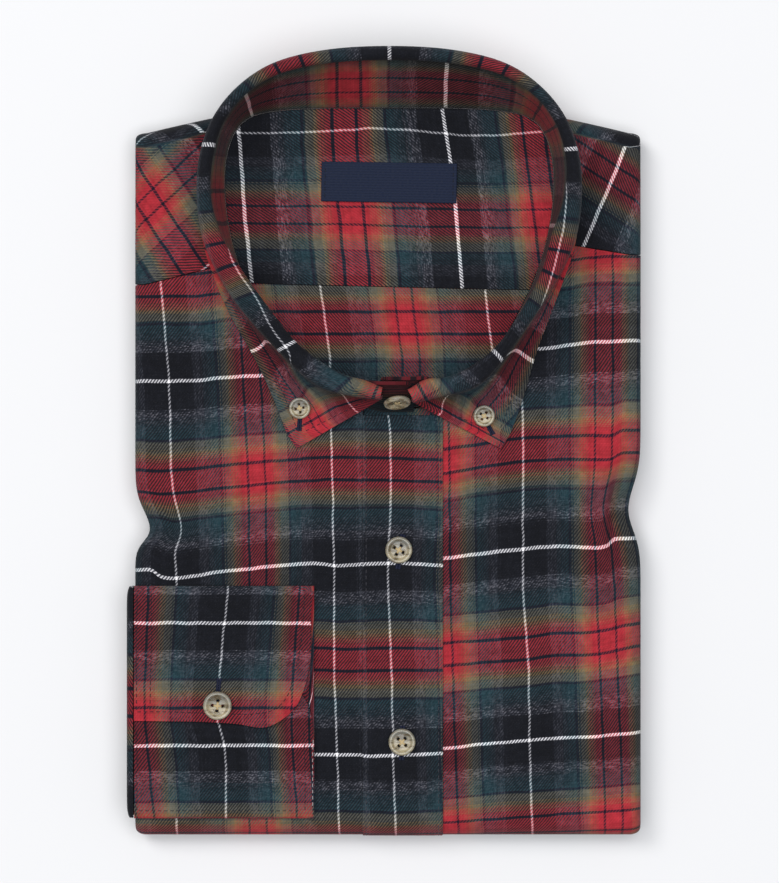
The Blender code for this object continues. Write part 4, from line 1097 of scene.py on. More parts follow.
def make_inside(name, warps, wefts, behind):
    """The part of the hollow behind the lining's seam, or the part before it."""
    angles = evenly(-math.pi, math.pi, math.radians(DISH_ANGLE))[:-1]
    shares = evenly(0.0, 1.0, DISH_RING)[1:]
    points = [Vector((*NECK_CENTRE, FLOOR_Z))]
    points += [dish_point(share, angle) for share in shares for angle in angles]
    count = len(angles)
    faces = []
    for station in range(count):
        beside = (station + 1) % count
        faces.append((0, 1 + station, 1 + beside))
        for ring in range(len(shares) - 1):
            inner, outer = 1 + ring * count, 1 + (ring + 1) * count
            faces.append((inner + station, outer + station, outer + beside, inner + beside))
    sheet_mesh = bmesh.new()
    made_points = [sheet_mesh.verts.new(point) for point in points]
    for face in faces:
        sheet_mesh.faces.new([made_points[corner] for corner in face])
    level, slope = LINING_SEAM
    away = 1 if behind else -1
    bmesh.ops.bisect_plane(
        sheet_mesh, geom=list(sheet_mesh.verts) + list(sheet_mesh.edges) + list(sheet_mesh.faces), dist=1e-7,
        plane_co=(NECK_CENTRE[0], level + away * SEAM_GAP / 2, 0), plane_no=(-slope * away, away, 0),
        clear_inner=True)
    sheet_mesh.verts.index_update()
    kept = [vert.co.copy() for vert in sheet_mesh.verts]
    kept_faces = [tuple(vert.index for vert in face.verts) for face in sheet_mesh.faces]
    sheet_mesh.free()
    if behind:
        counts = [(thread_count(warps, p.x, p.y), thread_count(wefts, p.y, p.x)) for p in kept]
    else:
        counts = [(thread_count(warps, p.y, p.x), thread_count(wefts, p.x, p.y)) for p in kept]
    return cloth_wall(sewn_mesh(name, kept, kept_faces, counts), CLOTH_WALL)


yoke_lining = make_inside("inner_yoke", LINING_WARPS, LINING_WEFTS, True)
back_panel = make_inside("back_inside", BACK_WARPS, BACK_WEFTS, False)
for piece, node, cut_size, cut_area in ((yoke_lining, "yoke_lining", (0.150, 0.083), 0.0116),
                                        (back_panel, "back_panel", (0.130, 0.057), 0.0050)):
    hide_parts(node)

# ---- Label -----------------------------------------------------------------------------
# A navy satin-woven label with no words on it, its ends folded under, stitched to the inner yoke.
LABEL_CENTRE = (2.3 * MM, 117.7 * MM)
LABEL_SIZE = (61.0 * MM, 18.0 * MM)
LABEL_TURN = -0.9                    # degrees
LABEL_WALL = 0.7 * MM
LABEL_TOP = 16.5 * MM
LABEL_ROW = 1.6 * MM                 # from a row of stitches to the label's end
LABEL_TROUGH = 0.8                   # how deep it is drawn in, against the flannel
LABEL_RIPPLE = 0.12 * MM
LABEL_RIPPLE_ACROSS = 7.0 * MM
LABEL_RIPPLE_ALONG = 5.0 * MM
LABEL_RIBS = 5200.0                  # pace of its woven ribs
LABEL_DARK = (0.0068, 0.0115, 0.029)
LABEL_LIGHT = (0.0125, 0.0190, 0.046)
LABEL_RELIEF = 0.08 * MM


def make_label_weave():
    made, tree, shader = new_material("label_weave")
    cloth = step(tree, "UVMap", uv_map="cloth")
    ribs = step(tree, "VectorMath", cloth, (1.0, LABEL_RIBS, 1.0), operation='MULTIPLY')
    along = step(tree, "SeparateXYZ", ribs).node.outputs[1]
    rib = sum_of(tree, 'MULTIPLY_ADD', sum_of(tree, 'SINE', along), 0.5, 0.5)
    grain = step(tree, "VectorMath", cloth, (900.0, 3000.0, 1.0), operation='MULTIPLY')
    uneven = cloud(tree, grain, 1.0, 2.0)
    navy_satin = blend(tree, sum_of(tree, 'MULTIPLY', rib, uneven), LABEL_DARK, LABEL_LIGHT)
    tree.links.new(navy_satin, shader.inputs["Base Color"])
    tree.links.new(between(tree, uneven, 0.3, 0.7, 0.55, 0.75), shader.inputs["Roughness"])
    add_relief(tree, shader, rib, 0.4, LABEL_RELIEF)
    shader.inputs["Specular IOR Level"].default_value = 0.1
    return made


def label_place(x, y):
    """Where a point of the label lies in the neck."""
    place = Matrix.Rotation(math.radians(LABEL_TURN), 3, 'Z') @ Vector((x, y, 0))
    return LABEL_CENTRE[0] + place.x, LABEL_CENTRE[1] + place.y


def make_label():
    half_width, half_height = (size / 2 for size in LABEL_SIZE)
    rows, counts = [], []
    for y in evenly(half_height, -half_height, 1.0 * MM):
        line, count = [], []
        for x in evenly(-half_width, half_width, 1.0 * MM):
            ripple = LABEL_RIPPLE * math.sin(x / LABEL_RIPPLE_ACROSS) * math.cos(y / LABEL_RIPPLE_ALONG + 0.6)
            trough = stitch_trough(half_width - LABEL_ROW - abs(x)) * LABEL_TROUGH
            line.append(Vector((*label_place(x, y), LABEL_TOP + ripple + trough)))
            count.append((x, y))
        rows.append(line)
        counts.append(count)
    return grid_sheet("plain_label", rows, counts, LABEL_WALL, look=label_weave)


label_weave = make_label_weave()
label = make_label()
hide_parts("label")

# ---- Collar stand ------------------------------------------------------------------------
# The band that stands up round the neck: two layers with a stiffener between. Its ends lap at the front,
# where the neck button holds them.
STAND_WALL = 1.5 * MM
STAND_SEAT = 0.35 * MM               # how far its foot stands over the fronts and the yoke
# From foot to head: share of the way out, share of the height.
STAND_SECTION = ((0.0, 0.0), (0.02, 0.09), (0.5, 0.46), (1.0, 0.9), (1.0, 1.0))
LAP_X = (3.6 * MM, 0.0, -3.6 * MM, -6.6 * MM)
LAP_SHIFT = 2.1 * MM                 # how far inside the other end the under end lies
LAP_BLEND = (19.0 * MM, 11.0 * MM)
LAP_FRONT_Y = 60.0 * MM
LAP_END_DROP = 5.0 * MM              # how much lower the ends' top corners are
STAND_WARP = 36.2 * MM               # the red band runs along the stand,
STAND_WARP_AT = 14.0 * MM            # this far above its foot,
STAND_WARP_END = 8.5 * MM            # and so much higher at the front ends
STAND_WARP_RISE = (150 * MM, 235 * MM)
# Where cross threads lie: distance from the middle of the back, count in the cloth, in millimetres.
STAND_WEFTS = ((-253, -183), (-215, -179), (-175, -160), (-122, -129), (-67.2, -86), (-18, -43), (25.5, 0),
               (79, 43), (131, 86), (183, 129), (215, 160), (226, 176), (253, 183))


def lap_shift(x, y):
    """The wearer's left end of the stand passes inside the right end."""
    return LAP_SHIFT * smooth(x, *LAP_BLEND) if x > 0 and y < LAP_FRONT_Y else 0.0


def centred_distances(points, middle):
    """Distance along a line of points, counted from the station nearest to its middle."""
    along = distances(points)
    return [value - along[middle] for value in along]


def make_collar_stand():
    front = COLLAR[0]
    over_end = [(0.0, front._replace(neck_x=-x, seam_x=-x)) for x in LAP_X[::-1]]
    under_end = [(LAP_SHIFT, front._replace(neck_x=x, seam_x=x)) for x in LAP_X]
    round_neck = [(lap_shift(section.seam_x, section.seam_y), section)
                  for section in collar_sections(COLLAR_STEPS)]
    lines = []
    for shift, section in over_end + round_neck + under_end:
        foot = Vector((collar_x(section.neck_x, section.neck_y), section.neck_y + shift, 0))
        foot.z = show_z(foot.x, foot.y) + STAND_SEAT
        head = Vector((collar_x(section.seam_x, section.seam_y), section.seam_y + shift, section.seam_z))
        if abs(section.seam_x) == -LAP_X[-1]:
            head.z -= LAP_END_DROP
        profile = [Vector((mix(foot.x, head.x, lean), mix(foot.y, head.y, lean), mix(foot.z, head.z, rise)))
                   for lean, rise in STAND_SECTION]
        lines.append(refined(profile, 4))
    rows = [list(row) for row in zip(*lines)]
    along = centred_distances(rows[-1], len(lines) // 2)
    counts = []
    for row_index in range(len(rows)):
        line = []
        for station in range(len(lines)):
            height = distances(lines[station])[row_index]
            higher = STAND_WARP_END * smooth(abs(along[station]), *STAND_WARP_RISE)
            line.append((STAND_WARP + height - STAND_WARP_AT - higher,
                         curve_through(STAND_WEFTS, along[station])))
        counts.append(line)
    return grid_sheet("collar_band", rows, counts, STAND_WALL, outwards=True, look=stand_flannel)


# The stand carries painted shade: all its colours are darkened to 0.6 for the shade inside the collar, and it
# has less nap and fewer flecks, which darkens it a little more.
stand_flannel = make_flannel("stand_flannel", 0.6, 0.8, 0.60)
collar_stand = make_collar_stand()
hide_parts("collar_stand")

# ---- Collar leaf -------------------------------------------------------------------------
# The falling collar: two layers turned and pressed, stitched 5 mm inside its edges. It rises from the
# stand, rolls over, and lies down on the fronts, where its points are buttoned.
LEAF_WALL = 1.5 * MM
LEAF_REST = 0.55 * MM                # gap under the leaf where it lies on the fronts,
LEAF_EDGE_THICK = 1.6 * MM           # and its thickness at the edge
# Out over the roll: share of the way to the outermost line, height over the seam. Then down to the edge:
# share of the way out, share of the way down.
LEAF_RISE = ((0.0, 0.3 * MM), (0.0, 1.5 * MM), (0.16, 3.2 * MM), (0.5, 4.1 * MM), (0.9, 2.3 * MM),
             (1.0, -1.2 * MM))
LEAF_FALL = ((-0.03, 0.32), (0.02, 0.62), (0.20, 0.84), (0.42, 0.96), (1.0, 1.0))
LEAF_STITCH = 5.0 * MM
# Where the white thread and the navy line beyond the red that run along the collar lie: distance round the
# roll from the middle of the back, distance from the leaf's seam, in millimetres.
LEAF_WARPS = ((-258, 35.5), (-251, 32.8), (-246, 30.3), (-242, 27.2), (-237, 23.5), (-221.4, 21),
              (-216, 16), (-212, 10), (-208, 7.7), (-200, 7), (-190.6, 5.8), (-182, 4.4), (-175, 3.6),
              (-165, 3.7), (-158, 3.2), (-152, 1), (-145, -1.5), (-100, -3), (100, -3), (118, -1),
              (121, 1), (126.4, 2.9), (131.8, 3.8), (137.1, 5), (142.3, 6.3), (147.3, 6.7), (157.1, 6.6),
              (162.1, 7), (171.7, 8.3), (177.2, 9.6), (184.1, 13), (232, 18), (238.2, 26.1),
              (242.6, 30.3), (247, 33.6), (250.7, 35.8))
LEAF_NAVY = 40.1 * MM                # count in the cloth from the one to the other
LEAF_NAVYS = ((-258, 54), (-250.9, 51.9), (-241.9, 47.1), (-232.3, 42.9), (-227, 41.2), (-221.4, 40.1),
              (-208.1, 38.2), (-199.8, 37.2), (-190.6, 35.9), (-180, 35.4), (-100, 37.1), (100, 37.1),
              (180, 36), (207.5, 36.4), (219.1, 39.1), (229, 41.8), (238.2, 46), (242.6, 49), (247, 52),
              (250.7, 54.2))
# Where cross threads lie: distance round the roll, count in the cloth.
LEAF_WEFTS = ((-257.8, -217.5), (-245.5, -209.6), (-206, -172), (-155, -129), (-103, -86), (-46, -43),
              (0, 0), (48, 43), (105, 86), (158.4, 129), (209, 172), (248, 209.6), (253, 214))
LEAF_SKEW = 9.0 * MM                 # how far the cross threads run off near the front on the right point
LEAF_SKEW_ALONG = (222 * MM, 250 * MM)
LEAF_SKEW_OUT = (12 * MM, 40 * MM)
LEAF_SHIFT = 6.5 * MM                # and how far they are drawn back where the points leave the crease
LEAF_SHIFT_FROM = (150 * MM, 190 * MM)
LEAF_SHIFT_TO = (222 * MM, 245 * MM)
LEAF_SHIFT_OUT = 32 * MM
LEAF_SHIFT_WIDTH = 9 * MM
LEAF_SEAM_REACH = 29.0 * MM          # length of cloth from the seam to the white thread at its farthest
# How the leaf's front corners are pulled off the line of its seam: seam x, y, z and roll x, y.
CORNER_STATIONS = 10
RIGHT_CORNER = tuple(shift * MM for shift in (0.9, -2.6, -0.4, 0.2, -0.3))
LEFT_CORNER = tuple(shift * MM for shift in (-2.6, -5.6, -1.6, -1.2, -1.6))


def leaf_profile(section, pulled):
    """One section of the leaf, from its seam over the roll to its free edge."""
    seam = Vector((collar_x(section.seam_x, section.seam_y), section.seam_y, section.seam_z))
    seam.y += lap_shift(section.seam_x, section.seam_y)
    outermost = Vector((collar_x(section.roll_x, section.roll_y), section.roll_y, section.seam_z))
    seam += Vector(pulled[:3])
    outermost += Vector((*pulled[3:], pulled[2]))
    edge = Vector((collar_x(section.edge_x, section.edge_y), section.edge_y, section.edge_z))
    rest = show_z(edge.x, edge.y) + LEAF_REST + LEAF_EDGE_THICK
    edge.z = max(edge.z, rest) if edge.y < top_fold_y(edge.x) else edge.z
    line = []
    for share, rise in LEAF_RISE:
        point = seam.lerp(outermost, share)
        point.z += rise
        line.append(point)
    start = line[-1]
    for share, drop in LEAF_FALL:
        point = start.lerp(edge, share)
        point.z = mix(start.z, edge.z, drop)
        line.append(point)
    return line


ROLL_POINT = len(LEAF_RISE) - 1
PROFILE_STEPS = 6
FALL_STEPS = 22                      # steps over the last stretch, down to the free edge


def corner_pull(station, count):
    """How far a section near one of the leaf's front ends is pulled."""
    from_right, from_left = station / CORNER_STATIONS, (count - 1 - station) / CORNER_STATIONS
    pull, share = (RIGHT_CORNER, from_right) if from_right < from_left else (LEFT_CORNER, from_left)
    return tuple(shift * (1 - smooth(share, 0.0, 1.0)) for shift in pull)


def leaf_count(out, along):
    """Cloth coordinates of a point this far out from the leaf's seam and along its roll."""
    white, navy = curve_through(LEAF_WARPS, along), curve_through(LEAF_NAVYS, along)
    if out < white:
        warp = (out - white) * min(LEAF_SEAM_REACH / max(white, LEAF_SEAM_REACH), 1.0)
    else:
        warp = (out - white) * LEAF_NAVY / (navy - white) if out < navy else LEAF_NAVY + out - navy
    skew = LEAF_SKEW * smooth(-along, *LEAF_SKEW_ALONG) * (1 - smooth(out, *LEAF_SKEW_OUT))
    near_front = smooth(abs(along), *LEAF_SHIFT_FROM) * (1 - smooth(abs(along), *LEAF_SHIFT_TO))
    shift = LEAF_SHIFT * near_front * math.exp(-((out - LEAF_SHIFT_OUT) / LEAF_SHIFT_WIDTH) ** 2)
    return warp, curve_through(LEAF_WEFTS, along + skew + math.copysign(shift, along))


def surface_up(rows, row, station):
    """Normal of a sheet given by rows of points, at one of them."""
    ahead, behind = rows[row][min(station + 1, len(rows[row]) - 1)], rows[row][max(station - 1, 0)]
    below, above = rows[min(row + 1, len(rows) - 1)][station], rows[max(row - 1, 0)][station]
    return (ahead - behind).cross(below - above).normalized()


def make_collar_leaf():
    """The leaf, and its rows of points, along which it is stitched."""
    sections = collar_sections(COLLAR_STEPS)
    lines = []
    for station, section in enumerate(sections):
        profile = leaf_profile(section, corner_pull(station, len(sections)))
        start = refined(profile, PROFILE_STEPS)[:-PROFILE_STEPS]
        lines.append(start + refined(profile, FALL_STEPS)[-FALL_STEPS:])
    rows = [list(row) for row in zip(*lines)]
    along = centred_distances(rows[ROLL_POINT * PROFILE_STEPS], len(lines) // 2)
    outs = [distances(line) for line in lines]
    counts = [[leaf_count(outs[station][row], along[station]) for station in range(len(lines))]
              for row in range(len(rows))]
    ends = [distances(row) for row in rows]
    sewn = []
    for row_index, row in enumerate(rows):
        line = []
        for station, point in enumerate(row):
            from_edge = outs[station][-1] - outs[station][row_index]
            from_end = min(ends[row_index][station], ends[row_index][-1] - ends[row_index][station])
            trough = 0.0
            if from_end > LEAF_STITCH - STITCH_TROUGH_WIDTH:
                trough += stitch_trough(from_edge - LEAF_STITCH)
            if from_edge > LEAF_STITCH - STITCH_TROUGH_WIDTH and row_index > ROLL_POINT * PROFILE_STEPS:
                trough += stitch_trough(from_end - LEAF_STITCH)
            line.append(point + surface_up(rows, row_index, station) * max(trough, -STITCH_TROUGH))
        sewn.append(line)
    return grid_sheet("collar_fall", sewn, counts, LEAF_WALL, flip=True), sewn


collar_leaf, leaf_rows = make_collar_leaf()
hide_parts("collar_leaf")

# ---- Sleeve end --------------------------------------------------------------------------
# The right sleeve comes out between the packet's layers at its side, turns up over the roll and ends in
# the cuff. Only this turn shows.
SLEEVE_TOP = -64.4 * MM
SLEEVE_BOTTOM = -168.0 * MM
SLEEVE_WALL = 1.5 * MM
SLEEVE_SECTION = tuple(Vector((x * MM, z * MM)) for x, z in (
    (-112.6, 28.8), (-113.6, 28.7), (-114.9, 27.4), (-115.55, 24.4), (-115.6, 19.8), (-115.0, 15.4),
    (-112.9, 12.3), (-109.4, 11.35), (-103.6, 11.35)))
SLEEVE_SPACING = 1.5 * MM
SLEEVE_TUCK = 1.2 * MM               # how far the turn is drawn in at its ends
SLEEVE_TUCK_REACH = 2 * MM
SLEEVE_WARP = 1.5 * MM               # the strip that shows is beside a white thread, so it is black
SLEEVE_WEFTS = ((-168.8, -86.0), (-63.6, 0.0))


def make_sleeve():
    section = refined(SLEEVE_SECTION, 6)[::-1]
    around = distances(section)
    rows, counts = [], []
    for y in evenly(SLEEVE_TOP, SLEEVE_BOTTOM, SLEEVE_SPACING):
        draw = SLEEVE_TUCK * math.exp(-min(y - SLEEVE_BOTTOM, SLEEVE_TOP - y) / SLEEVE_TUCK_REACH)
        rows.append([Vector((point.x + draw * math.sin(math.pi * index / (len(section) - 1)), y, point.y))
                     for index, point in enumerate(section)])
        counts.append([(SLEEVE_WARP + around[-1] - place, curve_through(SLEEVE_WEFTS, y))
                       for place in around])
    return grid_sheet("sleeve_turn", rows, counts, SLEEVE_WALL)


sleeve_end = make_sleeve()
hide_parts("sleeve_right")

# ---- Cuff --------------------------------------------------------------------------------
# The right cuff, one band folded flat. Its buttonhole end laps over the other; both ends are rounded and
# stitched near their edges.
CUFF_WALL = 1.3 * MM
CUFF_LEFT = -112.1 * MM
CUFF_RIGHT = -31.4 * MM
CUFF_LAP_EDGE = ((-114.7, -124.4), (-98.1, -124.6), (-81.1, -124.9), (-65.9, -125.8), (-55.6, -127.4),
                 (-49.7, -126.2), (-43, -121.8), (-39, -117.3), (-36.3, -111.4), (-34.5, -105.2),
                 (-33.2, -98), (-30.5, -88.1))
CUFF_LAP_INSET = 1.4 * MM            # how far the lap stops short of the under layer at the rounded end
CUFF_INSET_FROM = 0.7                # share of the cuff's width at which that starts
CUFF_STEPS = (0.02, 0.008)           # shares of the width between stations, and past the next share
CUFF_FINE_FROM = 0.78
CUFF_LAP_RISE = 0.7 * MM             # how far the lap's edge stands up between button and corner
CUFF_LAP_RISE_X = -62 * MM
CUFF_LAP_RISE_REACH = 17 * MM
CUFF_UNDER_Y = -112.0 * MM
CUFF_UNDER_CORNER = 22.0 * MM
CUFF_UNDER_CORNER_WIDTH = 8.0 * MM
# Round the cuff from the lap's edge to the under layer's, y and height; the edges' own y is worked out.
CUFF_SECTION = tuple((y * MM, height * MM) for y, height in (
    (0, 5.6), (-112, 5.5), (-98, 5.0), (-84, 4.5), (-71, 4.1), (-66.2, 3.6), (-64.0, 2.1), (-66.2, 0.7),
    (-71, 0.4), (-92, 0.4), (-115, 0.4), (-140, 0.4), (-162, 0.4), (-166.6, 0.7), (-168.4, 2.1),
    (-166.6, 3.5), (-161, 3.9), (-145, 3.8), (-134, 3.75), (0, 3.7)))
CUFF_WARPS = (
    ThreadLine(-36.2, ((-66, -110.0), (-125, -111.0), (-169, -107.0))),
    ThreadLine(0.0, ((-66, -69.9), (-80.9, -71.5), (-105.2, -73.8), (-124.1, -74.7), (-135, -71.5),
                     (-169.1, -70.8))),
    ThreadLine(36.2, ((-66, -34.0), (-125, -37.5), (-169, -35.0))),
)
CUFF_TOP_WHITE = -80.6 * MM          # y of the cross-wise white threads on the upper and the under layer
CUFF_UNDER_WHITE = -135.6 * MM
CUFF_WHITES_APART = 4 * WEFT_HALF * MM


def corner_lift(distance, width, height):
    """How far a rounded corner draws back the edge at this distance from the side."""
    if distance >= width:
        return 0.0
    return height * (1 - math.sqrt(1 - (1 - distance / width) ** 2))


def make_cuff():
    base = HALF_THICK + top_height(mix(CUFF_LEFT, CUFF_RIGHT, 0.5), mix(SLEEVE_TOP, SLEEVE_BOTTOM, 0.5))
    coarse, fine = CUFF_STEPS
    across = evenly(0.0, CUFF_FINE_FROM, coarse) + evenly(CUFF_FINE_FROM, 1.0, fine)[1:]
    last = len(CUFF_SECTION) - 1
    lines = []
    for share in across:
        x = mix(CUFF_LEFT, CUFF_RIGHT, share)
        inset = CUFF_LAP_INSET * smooth(share, CUFF_INSET_FROM, 1.0)
        line = []
        for index, (y, height) in enumerate(CUFF_SECTION):
            place_x = x
            if index <= 4:
                place_x = x - inset * min(1.0, (5 - index) / 2)
            if index <= 3:
                lap = curve_through(CUFF_LAP_EDGE, place_x)
                y = mix(lap, CUFF_SECTION[4][0], index / 4)
            if index == 0:
                height += CUFF_LAP_RISE * math.exp(-((x - CUFF_LAP_RISE_X) / CUFF_LAP_RISE_REACH) ** 2)
            if index == last:
                y = CUFF_UNDER_Y - corner_lift(CUFF_RIGHT - x, CUFF_UNDER_CORNER_WIDTH, CUFF_UNDER_CORNER)
            line.append(Vector((place_x, y, base + height)))
        lines.append(refined(line, 5))
    rows = [list(row) for row in zip(*lines)]
    along = distances(lines[0])
    placed = list(zip(along, lines[0]))
    top_white = next(place for place, point in placed if point.y > CUFF_TOP_WHITE)
    under_white = next(place for place, point in reversed(placed) if point.y < CUFF_UNDER_WHITE)
    stretch = CUFF_WHITES_APART / (under_white - top_white)
    # The plaid keeps to y on both faces, and is spread evenly between them round the fold underneath.
    counts = []
    for row_index, row in enumerate(rows):
        line = []
        for station, point in enumerate(row):
            place = distances(lines[station])[row_index] - distances(lines[station])[-1] + along[-1]
            if point.z > base + CUFF_SECTION[5][1] or row_index > len(rows) * 0.75:
                if row_index < len(rows) / 2:
                    along_count = point.y - CUFF_TOP_WHITE
                else:
                    along_count = point.y - CUFF_UNDER_WHITE + CUFF_WHITES_APART
            else:
                along_count = (place - top_white) * stretch
            line.append((thread_count(CUFF_WARPS, point.y, point.x), along_count))
        counts.append(line)
    return grid_sheet("cuff_band", rows, counts, CUFF_WALL, flip=True)


cuff = make_cuff()
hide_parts("cuff")

# ---- Buttons -------------------------------------------------------------------------------
# Four-hole buttons turned from horn and polished, sewn on with cream thread.
# Half of a button's section: shares of its radius and of its thickness.
BUTTON_PROFILE = ((0, 0.62), (0.35, 0.62), (0.58, 0.62), (0.66, 0.68), (0.72, 0.86), (0.80, 0.98),
                  (0.88, 0.98), (0.95, 0.85), (1.0, 0.55), (0.99, 0.34), (0.86, 0.06), (0.8, 0), (0, 0))
BUTTON_THICK = 0.22                  # shares of the diameter, as are the next two
BUTTON_HOLE_RADIUS = 0.060
BUTTON_HOLE_OFFSET = 0.172
BUTTON_SIDES = 64
HOLE_SIDES = 16
MERGE_WITHIN = 0.00001
HORN_STREAKS = 210.0                 # how fine its streaks, grain and clouds are
HORN_GRAIN = 1300.0
HORN_CLOUDS = 150.0
HORN_GREY = (0.165, 0.155, 0.135)
HORN_HONEY = (0.37, 0.30, 0.19)
HORN_STREAK = (0.085, 0.060, 0.028)
HORN_FLAKE = (0.34, 0.32, 0.27)
HORN_RIM = (0.40, 0.36, 0.29)
Button = namedtuple("Button", "name node diameter place facing turn")
BUTTONS = (
    Button("neck_button", "button_neck", 12.15, (5.8, 19.4, 37.2), (0.11, -0.92, 0.37), 0),
    Button("upper_front_button", "button_front_1", 12.15, (6.7, -47.9, 25.9), (0, 0, 1), 15),
    Button("lower_front_button", "button_front_2", 12.15, (8.1, -134.1, 25.9), (0, 0, 1), 5),
    Button("right_point_button", "button_collar_right", 9.6, (-37.734, 15.777, 27.352),
           (-0.0586, -0.0407, 0.9975), 20),
    Button("left_point_button", "button_collar_left", 9.6, (44.918, 12.281, 27.358),
           (0.0306, -0.0334, 0.999), -30),
    Button("cuff_button", "button_cuff", 12.9, (-74.681, -117.342, 30.786), (0.0988, -0.1186, 0.988), 0),
)


def make_horn():
    """Polished horn, honey coloured towards the foot of a button, streaked, and paler on its rim."""
    made, tree, shader = new_material("horn")
    position = tree.nodes.new("ShaderNodeNewGeometry").outputs["Position"]
    place = step(tree, "VectorMath", position, (0.8, 2.6, 1.0), operation='MULTIPLY')
    face = step(tree, "UVMap", uv_map="face")
    up_the_face = step(tree, "SeparateXYZ", face).node.outputs[1]
    streaks = cloud(tree, place, HORN_STREAKS, 3.0, 0.55)
    fine = cloud(tree, place, HORN_GRAIN, 3.0, 0.6)
    clouded = sum_of(tree, 'SUBTRACT', cloud(tree, position, HORN_CLOUDS), 0.5)
    height = sum_of(tree, 'MULTIPLY_ADD', clouded, 1.6, up_the_face)
    ground = blend(tree, between(tree, height, -0.5, 0.6), HORN_HONEY, HORN_GREY)
    streaked = blend(tree, between(tree, streaks, 0.48, 0.60, 0.0, 0.85), ground, HORN_STREAK)
    tone = blend(tree, between(tree, fine, 0.50, 0.75, 0.0, 0.4), streaked, HORN_FLAKE)
    from_middle = step(tree, "VectorMath", face, operation='LENGTH').node.outputs["Value"]
    rim = between(tree, from_middle, 0.74, 0.84, 0.0, 0.35)
    tree.links.new(blend(tree, rim, tone, HORN_RIM), shader.inputs["Base Color"])
    tree.links.new(between(tree, fine, 0.3, 0.7, 0.24, 0.38), shader.inputs["Roughness"])
    shader.inputs["Specular IOR Level"].default_value = 0.5
    shader.inputs["Subsurface Weight"].default_value = 0.08
    return made


def button_blank(diameter):
    """A turned button with its holes drilled, lying face up."""
    radius, thick = diameter / 2, diameter * BUTTON_THICK
    mesh = bpy.data.meshes.new("button_profile")
    mesh.from_pydata([(share * radius, 0, height * thick) for share, height in BUTTON_PROFILE],
                     [(i, i + 1) for i in range(len(BUTTON_PROFILE) - 1)], [])
    blank = put_in_scene("button_blank", mesh)
    screw = blank.modifiers.new("turn", 'SCREW')
    screw.steps = screw.render_steps = BUTTON_SIDES
    screw.use_merge_vertices = True
    screw.merge_threshold = MERGE_WITHIN
    holes = bmesh.new()
    for quarter in range(4):
        angle = math.radians(45 + 90 * quarter)
        middle = Matrix.Translation((math.cos(angle) * BUTTON_HOLE_OFFSET * diameter,
                                     math.sin(angle) * BUTTON_HOLE_OFFSET * diameter, 0))
        bmesh.ops.create_cone(holes, cap_ends=True, segments=HOLE_SIDES, depth=4 * thick, matrix=middle,
                              radius1=BUTTON_HOLE_RADIUS * diameter, radius2=BUTTON_HOLE_RADIUS * diameter)
    hole_mesh = bpy.data.meshes.new("button_holes")
    holes.to_mesh(hole_mesh)
    holes.free()
    drill = put_in_scene("button_holes", hole_mesh)
    drilled = blank.modifiers.new("holes", 'BOOLEAN')
    drilled.operation = 'DIFFERENCE'
    drilled.object = drill
    made = with_modifiers_applied(blank).data
    for helper in (blank, drill):
        bpy.data.objects.remove(helper, do_unlink=True)
    made.shade_smooth()
    return made


def facing_of(button):
    """The direction that a button faces, and the rotation that turns it that way."""
    facing = Vector(button.facing).normalized()
    upright = facing.to_track_quat('Z', 'Y').to_matrix()
    return facing, upright @ Matrix.Rotation(math.radians(button.turn), 3, 'Z')


horn = make_horn()
for button in BUTTONS:
    turned = button_blank(button.diameter * MM)
    middle = Vector(button.place) * MM
    turned.transform(Matrix.Translation(middle) @ facing_of(button)[1].to_4x4())
    face_places = turned.uv_layers.new(name="face")
    for loop in turned.loops:
        away = (turned.vertices[loop.vertex_index].co - middle) / (button.diameter / 2 * MM)
        face_places.data[loop.index].uv = (away.x, away.y)
    turned.materials.clear()
    turned.materials.append(horn)
    made = put_in_scene(button.name, turned)
    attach(made, "root")
    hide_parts(button.node)

# ---- Stitching -----------------------------------------------------------------------------
# Rows of lockstitch in charcoal thread along the collar, placket, cuff and label, buttonholes worked
# closely in navy, and cream thread in the buttons. Each stitch dips into the cloth at both ends.
STITCH = 2.1 * MM
STITCH_SPACE = 0.7 * MM
STITCH_WIDTH = 0.34 * MM
STITCH_RISE = 0.10 * MM              # how far a stitch stands over the cloth, and how far its ends dip in
STITCH_FULL = (0.2, 0.8)             # a stitch is full between these shares of its length
STITCH_HEIGHT = 0.4                  # half its height, against its width
HOLE_PITCH = 0.36 * MM
HOLE_WIDTH = 2.2 * MM
HOLE_STITCH = (0.15, 1.1)            # where a buttonhole's stitches start and end, in half widths of the hole
HOLE_BAR_REACH = 1.3                 # and where those of the bars at its ends do
HOLE_BAR = 1.1 * MM                  # length of a bar along the hole
HOLE_THREAD = 0.46 * MM
HOLE_THREAD_RISE = 0.16 * MM
RULER_Z = 100 * MM                   # lines are dropped on the cloth from here
Hole = namedtuple("Hole", "x y length toward_x toward_y")
BUTTONHOLES = (
    # x, y, length, direction, on which piece
    (Hole(-37.6, 12, 12.5, -1.7, -19.5), collar_leaf),
    (Hole(46.4, 8.9, 11.0, 6.5, -13.0), collar_leaf),
    (Hole(7.4, -48.7, 15.3, -5.0, -33.6), placket),
    (Hole(8.1, -134.6, 15.0, -1.0, -33.0), placket),
    (Hole(-74.6, -113.7, 16.5, -3.5, -38.0), cuff),
)
CUFF_ROWS = (((-113.4, -120.4), (-98.1, -120.4), (-81.1, -120.9), (-64.5, -121.5), (-54.2, -120.9),
              (-47.9, -118.6), (-43, -112.8), (-40.8, -105.2), (-38.1, -94.9), (-36.3, -81.4),
              (-35.6, -66.6)),
             ((-104.4, -66.6), (-104.4, -92.6), (-104.9, -121.3)),
             ((-110.7, -66.6), (-110.9, -92.6), (-110.9, -121.3)),
             ((-110.8, -128.5), (-110.8, -165.3)),
             ((-35.9, -128.5), (-35.4, -146.5), (-35.4, -165.3)),
             ((-110.8, -164.9), (-35.4, -164.9)))
CUFF_EDGE_ROW = ((-31.7, -132.1), (-32, -142), (-32, -153.2), (-31.9, -165.3))
